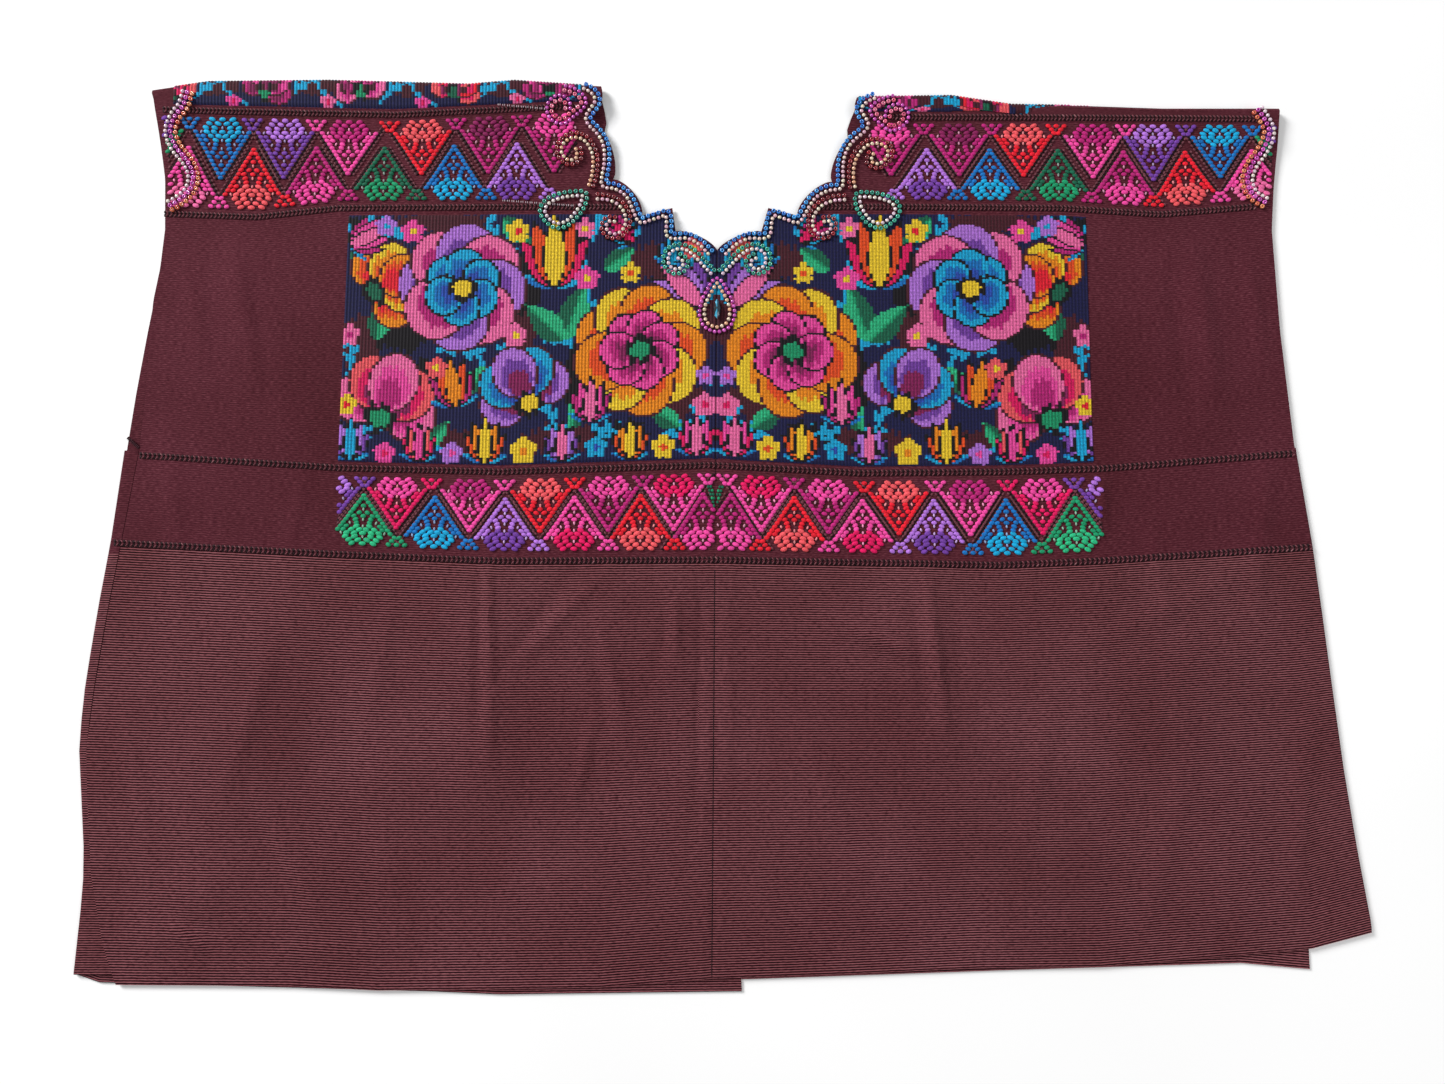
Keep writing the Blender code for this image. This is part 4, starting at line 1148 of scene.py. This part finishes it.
def shoulder_strip(side):
    """The strip follows the front from the first corded row, over the shoulder roll and down behind it."""
    columns, heights, cords = corded_columns(STRIP_REACH)
    x = side_sign(side) * columns
    shoulder = at(LINES["fold"], x) - ROLL_FRONT
    foot = np.minimum(at(LINES["chain_a"], x) + STRIP_CLEAR, shoulder - 1.0)
    path = []
    for share in np.linspace(0.0, 1.0, STRIP_PASSES):
        y = foot * (1 - share) + shoulder * share
        path.append(np.stack([x, y, front_height(x, y)], axis=1))
    path += [roll_row(x, turn) for turn in np.linspace(math.pi / 2, STRIP_END_TURN, STRIP_PASSES)]
    path = np.array(path)
    along = np.gradient(path, axis=0)
    outward = np.stack([np.zeros_like(along[..., 0]), -along[..., 2], along[..., 1]], axis=2)
    outward /= np.linalg.norm(outward, axis=2)[..., None]
    height = rim_drop(np.tile(heights, (len(path), 1)))
    first = np.round(at(STRIP_BEHIND[side], columns)).astype(int)
    rows = np.arange(len(path))[:, None]
    height[(rows <= first) & (first > 0)] = RIM
    surface = path + outward * (WALL + height)[..., None]
    chart = strip_chart(STRIP_REACH[0] + CORD_PITCH * (np.arange(cords) + 0.5),
                        STRIP_PASS_HEIGHT * (np.arange(len(path) - 1) + 0.5))
    middle_x = (surface[:-1, :-1, 0] + surface[1:, 1:, 0]) / 2
    hole = inside_neck(middle_x, surface[:-1, :-1, 1], NECK_CLEAR["strip"])
    hole |= rows[:-1] < first[:-1]
    return brocade_mesh(side + "_shoulder_strip", surface, chart, hole)


for side in ("left", "right"):
    for mesh in (chest_panel(side), shoulder_strip(side)):
        mesh.materials.append(THREAD_FINISH)
        panel = set_down(mesh.name, mesh)
        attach(panel, "root")
        bands[side].append(panel.name)

# Beadwork
# Rows of glass seed beads and small cut stones, strung on thread and sewn down round the neck, in scrolls
# and closed loops beside it, and in a wave at each armhole.
BEADS = {"seed": {"size": (3.3, 3.3, 2.6), "pitch": 4.0, "pierced": 1.0},
         "stone": {"size": (2.9, 2.9, 2.3), "pitch": 3.55, "pierced": 0.0}}
BEAD_LIFT = 1.75
ROUTE_STEP = 1.2
CURVE_STEPS = 12
BEAD_DYES = {
    "sky": ((62, 174, 250), (26, 122, 224)), "crystal": ((254, 242, 208), (250, 190, 212)),
    "violet": ((242, 100, 216), (206, 60, 178)), "rose": ((255, 132, 168), (242, 82, 122)),
    "coral": ((255, 162, 104), (238, 98, 62)), "garnet": ((184, 34, 46), (132, 20, 36)),
    "teal": ((56, 204, 170), (26, 150, 128)), "pearl": ((254, 244, 226), (246, 214, 232)),
    "amber": ((254, 184, 138), (252, 232, 202)),
}
EDGING = ((-101, 325.5), (-95.8, 322.6), (-92, 317.5), (-92.3, 312), (-95.8, 307.2), (-98.6, 302.2),
          (-96.6, 297.5), (-92, 293), (-87, 286), (-84.5, 277), (-84.6, 266), (-86, 257), (-86, 250.5),
          (-80, 249.6), (-73.5, 247), (-67.8, 242), (-64.3, 235), (-61.5, 228), (-58.5, 223), (-53, 224.5),
          (-46, 226.8), (-39.2, 228.3), (-37.6, 221), (-37.8, 212.2), (-32.5, 210.6), (-25, 211),
          (-18, 208.5), (-12.2, 204), (-7.2, 198.5))
TOP_SPIRAL = ((-116, 324), (-109.5, 322), (-104, 318), (-102, 313.5), (-105.4, 308.5), (-111.5, 303.8),
              (-117, 299.5), (-123.5, 301), (-127.5, 306.5), (-126.5, 313), (-121, 317), (-114.8, 314.5),
              (-114, 309))
UPPER_SPIRAL = ((-96, 250), (-94, 257), (-93, 267), (-94.5, 277), (-101, 286.5), (-111, 288.5),
                (-119, 282.5), (-119.5, 274), (-113, 268), (-105.5, 271), (-106, 278.5))
LOWER_SPIRAL = ((-91, 241), (-83, 240.3), (-75.5, 237), (-70.3, 231), (-68.2, 223.5), (-70, 216),
                (-75.5, 211.2), (-82.5, 211.8), (-86, 217.5), (-83.5, 223.5), (-78, 223.5))
CENTRE_SCROLL = ((-5.4, 183.4), (-12, 190.5), (-17.5, 196.5), (-24, 201.5), (-32, 202.5), (-38.8, 198),
                 (-39.5, 189.5), (-34.5, 184), (-27, 185.5), (-25.5, 192), (-30, 195.2))
TEARDROP = ((-101, 242.8), (-109, 243.4), (-118, 242), (-127.5, 238), (-131.8, 231), (-128.5, 223.5),
            (-121, 218.8), (-113, 221), (-107, 227), (-102.5, 234))
CENTRE_DROP = ((-2, 176.5), (-7.5, 169), (-11.8, 160), (-13, 151), (-10, 143.2), (-2, 139.8), (6, 143.2),
               (9, 151), (7.8, 160), (3.5, 169))
WAVES = {
    "left": ((-399, 321), (-402, 311), (-408, 303), (-411.5, 292), (-407, 280), (-398, 269), (-393, 258),
             (-395, 246), (-403, 238), (-409, 234.5)),
    "right": ((402.5, 307), (408, 298), (410.5, 289), (405.5, 277), (397.5, 266), (393.5, 254), (397, 243),
              (405.5, 237)),
}
ROUTES = {
    "neck_edging": {"route": EDGING, "rows": ((1.9, "seed", "sky"), (-1.9, "stone", "crystal"))},
    "top_spiral": {"route": TOP_SPIRAL, "rows": ((1.9, "stone", "violet"), (-1.6, "seed", "rose"))},
    "upper_spiral": {"route": UPPER_SPIRAL, "rows": ((-1.9, "seed", "garnet"), (1.6, "stone", "amber"))},
    "lower_spiral": {"route": LOWER_SPIRAL, "rows": ((1.9, "seed", "garnet"), (-1.6, "stone", "crystal"))},
    "centre_scroll": {"route": CENTRE_SCROLL, "rows": ((-1.9, "seed", "teal"), (1.7, "stone", "pearl"))},
    "teardrop": {"route": TEARDROP, "rows": ((-1.9, "seed", "teal"), (1.7, "stone", "pearl")),
                 "closed": True},
    "armhole_wave": {"rows": ((-3.7, "stone", "pearl"), (0.0, "seed", "violet"), (3.8, "seed", "coral"))},
}
CENTRE_ROWS = ((-1.9, "stone", "violet"), (1.7, "stone", "amber"))


def smooth_route(points, step, closed=False):
    """A Catmull-Rom curve through the points, as places a step apart."""
    points = np.array(points, dtype=float)
    count = len(points)
    fine = []
    for index in range(count if closed else count - 1):
        around = [index - 1, index, index + 1, index + 2]
        a, b, c, d = (points[k % count if closed else min(max(k, 0), count - 1)] for k in around)
        for t in np.arange(CURVE_STEPS) / CURVE_STEPS:
            square, cube = 2 * a - 5 * b + 4 * c - d, 3 * b - a - 3 * c + d
            fine.append(0.5 * (2 * b + (c - a) * t + square * t**2 + cube * t**3))
    fine.append(points[0] if closed else points[-1])
    fine = np.array(fine)
    travelled = np.concatenate([[0.0], np.cumsum(np.linalg.norm(np.diff(fine, axis=0), axis=1))])
    places = np.linspace(0.0, travelled[-1], max(int(travelled[-1] / step), 3) + 1)
    return np.stack([np.interp(places, travelled, fine[:, axis]) for axis in (0, 1)], axis=1)


def beside(route, offset, closed):
    """The route moved to its left by the offset."""
    if closed:
        ahead, behind = np.roll(route[:-1], -1, axis=0), np.roll(route[:-1], 1, axis=0)
        along = ahead - behind
        along = np.concatenate([along, along[:1]])
    else:
        along = np.gradient(route, axis=0)
    along /= np.linalg.norm(along, axis=1)[:, None]
    return route + offset * np.stack([-along[:, 1], along[:, 0]], axis=1)


def bead_rows_tree():
    """Geometry Nodes: each line of points becomes a thread strung with beads at its own pitch and dyes."""
    tree, given = node_group("bead_rows", "GeometryNodeTree", {
        "Lines": ("Geometry", None), "Thread Radius": ("Float", 0.00035), "Bead Finish": ("Material", None),
        "Thread Finish": ("Material", None), "Seed": ("Int", 3),
    }, {"Strung": "Geometry"})
    curve = wired(tree, "GeometryNodeMeshToCurve", {"Mesh": given["Lines"]})
    pitch = named(tree, "pitch", "FLOAT")
    places = wired(tree, "GeometryNodeResampleCurve", {"Curve": curve, "Length": pitch}, mode="LENGTH")
    stone = wired(tree, "GeometryNodeMeshIcoSphere", {"Radius": 0.5, "Subdivisions": 2})
    ring, bore, section = (
        wired(tree, "GeometryNodeCurvePrimitiveCircle", {"Resolution": sides, "Radius": radius})
        for sides, radius in ((9, 0.32), (6, 0.2), (5, given["Thread Radius"])))
    torus = wired(tree, "GeometryNodeCurveToMesh", {"Curve": ring, "Profile Curve": bore})
    seed = wired(tree, "GeometryNodeTransform", {"Geometry": torus, "Scale": (1.0, 1.0, 2.2)})
    lean = wired(tree, "FunctionNodeRandomValue", {
        0: (-0.22, -0.22, -3.0), 1: (0.22, 0.22, 3.0), "Seed": given["Seed"]}, data_type="FLOAT_VECTOR")
    turn = wired(tree, "FunctionNodeEulerToRotation", {"Euler": lean})
    shade = wired(tree, "FunctionNodeRandomValue", {"Seed": given["Seed"]}, data_type="FLOAT").outputs[1]
    dyes = (named(tree, title, "FLOAT_COLOR") for title in ("dye_one", "dye_two"))
    dye = mixed(tree, "MIX", shade, *dyes)
    dyed = wired(tree, "GeometryNodeStoreNamedAttribute", {
        "Name": "thread_colour", "Geometry": places, "Value": dye}, data_type="FLOAT_COLOR", domain="POINT")
    pierced, size = named(tree, "pierced", "FLOAT"), named(tree, "size", "FLOAT_VECTOR")
    hung = []
    for form, chosen in ((stone, "LESS_EQUAL"), (seed, "GREATER_THAN")):
        picked = wired(tree, "FunctionNodeCompare", {0: pierced, 1: 0.5}, data_type="FLOAT",
                       operation=chosen)
        hung.append(wired(tree, "GeometryNodeInstanceOnPoints", {
            "Points": dyed, "Selection": picked, "Instance": form, "Rotation": turn, "Scale": size}))
    joined = wired(tree, "GeometryNodeJoinGeometry", {"Geometry": hung})
    real = wired(tree, "GeometryNodeRealizeInstances", {"Geometry": joined})
    smooth = wired(tree, "GeometryNodeSetShadeSmooth", {"Geometry": real})
    glazed = wired(tree, "GeometryNodeSetMaterial", {"Geometry": smooth, "Material": given["Bead Finish"]})
    cord = wired(tree, "GeometryNodeCurveToMesh", {
        "Curve": places, "Profile Curve": section, "Fill Caps": True})
    waxed = wired(tree, "GeometryNodeSetMaterial", {"Geometry": cord, "Material": given["Thread Finish"]})
    whole = wired(tree, "GeometryNodeJoinGeometry", {"Geometry": [glazed, waxed]})
    wired(tree, "NodeGroupOutput", {"Strung": whole})
    return tree


BEAD_ROWS = bead_rows_tree()


def glass_beads(name, roughness, coat):
    """Coloured glass that takes its dye from the beads, a little cloudy."""
    finish, tree = started(name, roughness, Coat_Weight=coat, Coat_Roughness=0.06, Specular_IOR_Level=0.7)
    clouds = wired(tree, "ShaderNodeTexNoise", {"Vector": own_place(tree), "Scale": 900.0})
    glow = toned(tree, clouds, ((0.35, (176, 176, 184)), (0.65, WHITE)))
    coloured(tree, mixed(tree, "MULTIPLY", 1.0, own_dye(tree), glow))
    return finish


def beading_thread():
    finish, tree = started("beading_thread", 0.8, Sheen_Weight=0.1)
    grain = yarn_grain(tree, own_place(tree))
    coloured(tree, toned(tree, grain["Fibre"], ((0.3, (40, 14, 26)), (0.7, (70, 26, 40)))))
    return finish


BEAD_FINISH = glass_beads("bead_glass", 0.16, 0.6)
BEADING_THREAD = beading_thread()


def strung(name, lines):
    """One joined mesh of bead rows. Each line is its (x, y) points, the bead's form and its dyes."""
    places, edges = [], []
    kinds = {"pitch": "FLOAT", "size": "FLOAT_VECTOR", "pierced": "FLOAT", "dye_one": "FLOAT_COLOR",
             "dye_two": "FLOAT_COLOR"}
    rows = {title: (kind, []) for title, kind in kinds.items()}
    for route, form, dye in lines:
        first, bead = len(places), BEADS[form]
        edges += [(first + k, first + k + 1) for k in range(len(route) - 1)]
        places += np.column_stack([route, cloth_top(route[:, 0], route[:, 1]) + BEAD_LIFT]).tolist()
        own = {"pitch": bead["pitch"] * MM, "size": [size * MM for size in bead["size"]],
               "pierced": bead["pierced"], "dye_one": linear(*BEAD_DYES[dye][0]),
               "dye_two": linear(*BEAD_DYES[dye][1])}
        for title, value in own.items():
            rows[title][1].extend([value] * len(route))
    points = point_mesh(name, places, rows, edges)
    return grown(name, points, BEAD_ROWS, Bead_Finish=BEAD_FINISH, Thread_Finish=BEADING_THREAD)


for side in ("left", "right"):
    hand = -side_sign(side)
    for title, trim in ROUTES.items():
        closed = trim.get("closed", False)
        points = WAVES[side] if title == "armhole_wave" else trim["route"]
        if side == "right" and title != "armhole_wave":
            points = [mirrored(point) for point in points]
        route = smooth_route(points, ROUTE_STEP, closed)
        lines = [(beside(route, hand * offset, closed), form, dye) for offset, form, dye in trim["rows"]]
        beads = strung(f"{side}_{title}_beads", lines)
        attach(beads, "root")
        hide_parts(f"{side}_{title}")
        bands[side].append(beads.name)
centre = smooth_route(CENTRE_DROP, ROUTE_STEP, True)
centre_beads = strung("centre_teardrop_beads", [(beside(centre, offset, True), form, dye)
                                                for offset, form, dye in CENTRE_ROWS])
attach(centre_beads, "root")
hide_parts("centre_teardrop")

# Drop bead
# One long bead of dark teal glass, pointed at the top and cut in facets, hangs in the centre loop.
DROP_TAPER = 0.7
# Tints of the facets down its middle and at its sides, each left and right: the pale cyan on the middle's
# left is a painted highlight, the others are the glass's dark teal
DROP_HIGHLIGHT_TINTS = ((linear(70, 190, 226), linear(10, 74, 98)), (linear(6, 34, 46), linear(8, 48, 66)))
low, high = (Vector(corner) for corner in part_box("drop_bead"))
cut = bmesh.new()
bmesh.ops.create_uvsphere(cut, u_segments=8, v_segments=6, radius=0.5)
for corner in cut.verts:
    taper = 1.0 - DROP_TAPER * max(corner.co.y, 0.0)
    share = Vector((corner.co.x * taper, corner.co.y, corner.co.z)) + Vector((0.5, 0.5, 0.5))
    corner.co = Vector([low[k] + share[k] * (high[k] - low[k]) for k in range(3)])
drop_mesh = bpy.data.meshes.new("drop_bead_glass")
cut.to_mesh(drop_mesh)
cut.free()
facets = drop_mesh.color_attributes.new(name="thread_colour", type="FLOAT_COLOR", domain="CORNER")
# Painted highlight: the facets down the middle's left take the pale cyan tint
for face in drop_mesh.polygons:
    across, along = ((face.center[k] - (low[k] + high[k]) / 2) / (high[k] - low[k]) for k in (0, 1))
    for loop in face.loop_indices:
        facets.data[loop].color = DROP_HIGHLIGHT_TINTS[abs(across) > abs(along)][across > 0]
drop_mesh.materials.append(BEAD_FINISH)
drop = set_down("drop_bead_glass", drop_mesh)
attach(drop, "root")
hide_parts("drop_bead")

# Sewing
# The centre seam's dark stitches, the bar tack at the foot of the left armhole, and two short rows of
# paired silver stitches beside the neck.
SEAM_STITCH = {"pitch": 3.0, "size": (0.8, 3.5, 0.6), "lift": -0.12, "dye": linear(34, 8, 17)}
TACK_STITCH = {"pitch": 1.1, "size": (3.2, 1.2, 1.0), "lift": 0.35, "dye": linear(58, 18, 30)}
SILVER_STITCH = {"pitch": 3.4, "size": (1.9, 0.75, 0.8), "lift": 1.5, "dye": linear(206, 188, 196)}
SEAM_LEAN = 0.04
SILVER_PAIR = 0.7
STITCH_DYE_SPREAD = 0.12
SEAM_RUNS = ((-318.0, -36.0), (-27.0, -24.0), (34.0, 44.0))
SILVER_ROWS = (((-165.4, 312.1), (-130.6, 308.9)), ((-160.8, 238.3), (-109.9, 234.4)))
TACK = ((-431.0, 59.0), (-423.0, 52.0))


def stitch_row(start, end, pitch):
    """Places from start to end, a pitch apart."""
    count = max(int(math.dist(start, end) / pitch), 1) + 1
    return np.linspace(start, end, count)


def small_stitches(name, groups):
    """One piece from groups of (places, turn, stitch)."""
    places, turns, sizes, colours = [], [], [], []
    for spots, turn, stitch in groups:
        places.append(np.column_stack([spots, cloth_top(spots[:, 0], spots[:, 1]) + stitch["lift"]]))
        turns.append(np.full(len(spots), turn))
        sizes.append(np.tile(stitch["size"], (len(spots), 1)))
        colours.append(np.tile(stitch["dye"], (len(spots), 1)))
    places, turns, sizes, colours = (np.concatenate(parts) for parts in (places, turns, sizes, colours))
    piece = sewn(name, places, turns, sizes, varied(rng, colours, STITCH_DYE_SPREAD), THREAD_FINISH)
    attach(piece, "root")
    return piece


groups = []
for foot, top in SEAM_RUNS:
    heights = np.arange(foot, top, SEAM_STITCH["pitch"])
    groups.append((np.column_stack([seam_at(heights), heights]), SEAM_LEAN, SEAM_STITCH))
across_tack = math.atan2(TACK[1][1] - TACK[0][1], TACK[1][0] - TACK[0][0]) + math.pi / 2
groups.append((stitch_row(*TACK, TACK_STITCH["pitch"]), across_tack, TACK_STITCH))
for start, end in SILVER_ROWS:
    for shift in (-SILVER_PAIR, SILVER_PAIR):
        spots = stitch_row(start, end, SILVER_STITCH["pitch"]) + np.array([shift, 0.0])
        groups.append((spots, math.pi / 2, SILVER_STITCH))
bands["left"].append(small_stitches("sewing_stitches", groups).name)

# Floor, light and camera
# A pale floor, soft light from above, and a camera over the blouse at the photograph's angle.
CAMERA_PLACE = (0.002, -0.099, 0.7812)
CAMERA_TILT = math.radians(6)
CAMERA_LENS = 36 * 1085 / 1445
FLOOR_HALF = 2.5
FLOOR_GAP = 0.0002


def pale_floor():
    finish, tree = started("pale_floor", 0.9, Specular_IOR_Level=0.1)
    mottle = wired(tree, "ShaderNodeTexNoise", {"Vector": own_place(tree), "Scale": 3.0})
    coloured(tree, toned(tree, mottle, ((0.3, (246, 246, 246)), (0.7, (250, 250, 250)))))
    return finish


ground = bmesh.new()
bmesh.ops.create_grid(ground, x_segments=1, y_segments=1, size=FLOOR_HALF)
floor_mesh = bpy.data.meshes.new("floor")
ground.to_mesh(floor_mesh)
ground.free()
floor_mesh.materials.append(pale_floor())
floor_mesh.transform(Matrix.Translation((0.0, 0.0, -FLOOR_GAP)))
floor = set_down("floor", floor_mesh)


def area_light(name, place, size, power):
    """A square light that shines at the blouse's middle."""
    light = bpy.data.lights.new(name, "AREA")
    light.shape = "SQUARE"
    light.size = size
    light.energy = power
    lamp = set_down(name, light)
    lamp.location = place
    lamp.rotation_euler = (-Vector(place)).to_track_quat("-Z", "Y").to_euler()


area_light("soft_key", (-3.0, 2.3, 2.2), 1.5, 215.0)
area_light("soft_fill", (1.4, -0.6, 1.8), 1.6, 14.0)
world = bpy.data.worlds.new("studio")
world.use_nodes = True
world.node_tree.nodes["Background"].inputs["Color"].default_value = (1.0, 1.0, 1.0, 1.0)
world.node_tree.nodes["Background"].inputs["Strength"].default_value = 0.4
bpy.context.scene.world = world

lens = bpy.data.cameras.new("camera")
lens.lens = CAMERA_LENS
lens.sensor_width = 36.0
camera = set_down("camera", lens)
camera.location = CAMERA_PLACE
camera.rotation_euler = (CAMERA_TILT, 0.0, 0.0)
bpy.context.scene.camera = camera
bpy.context.scene.view_settings.view_transform = "Standard"
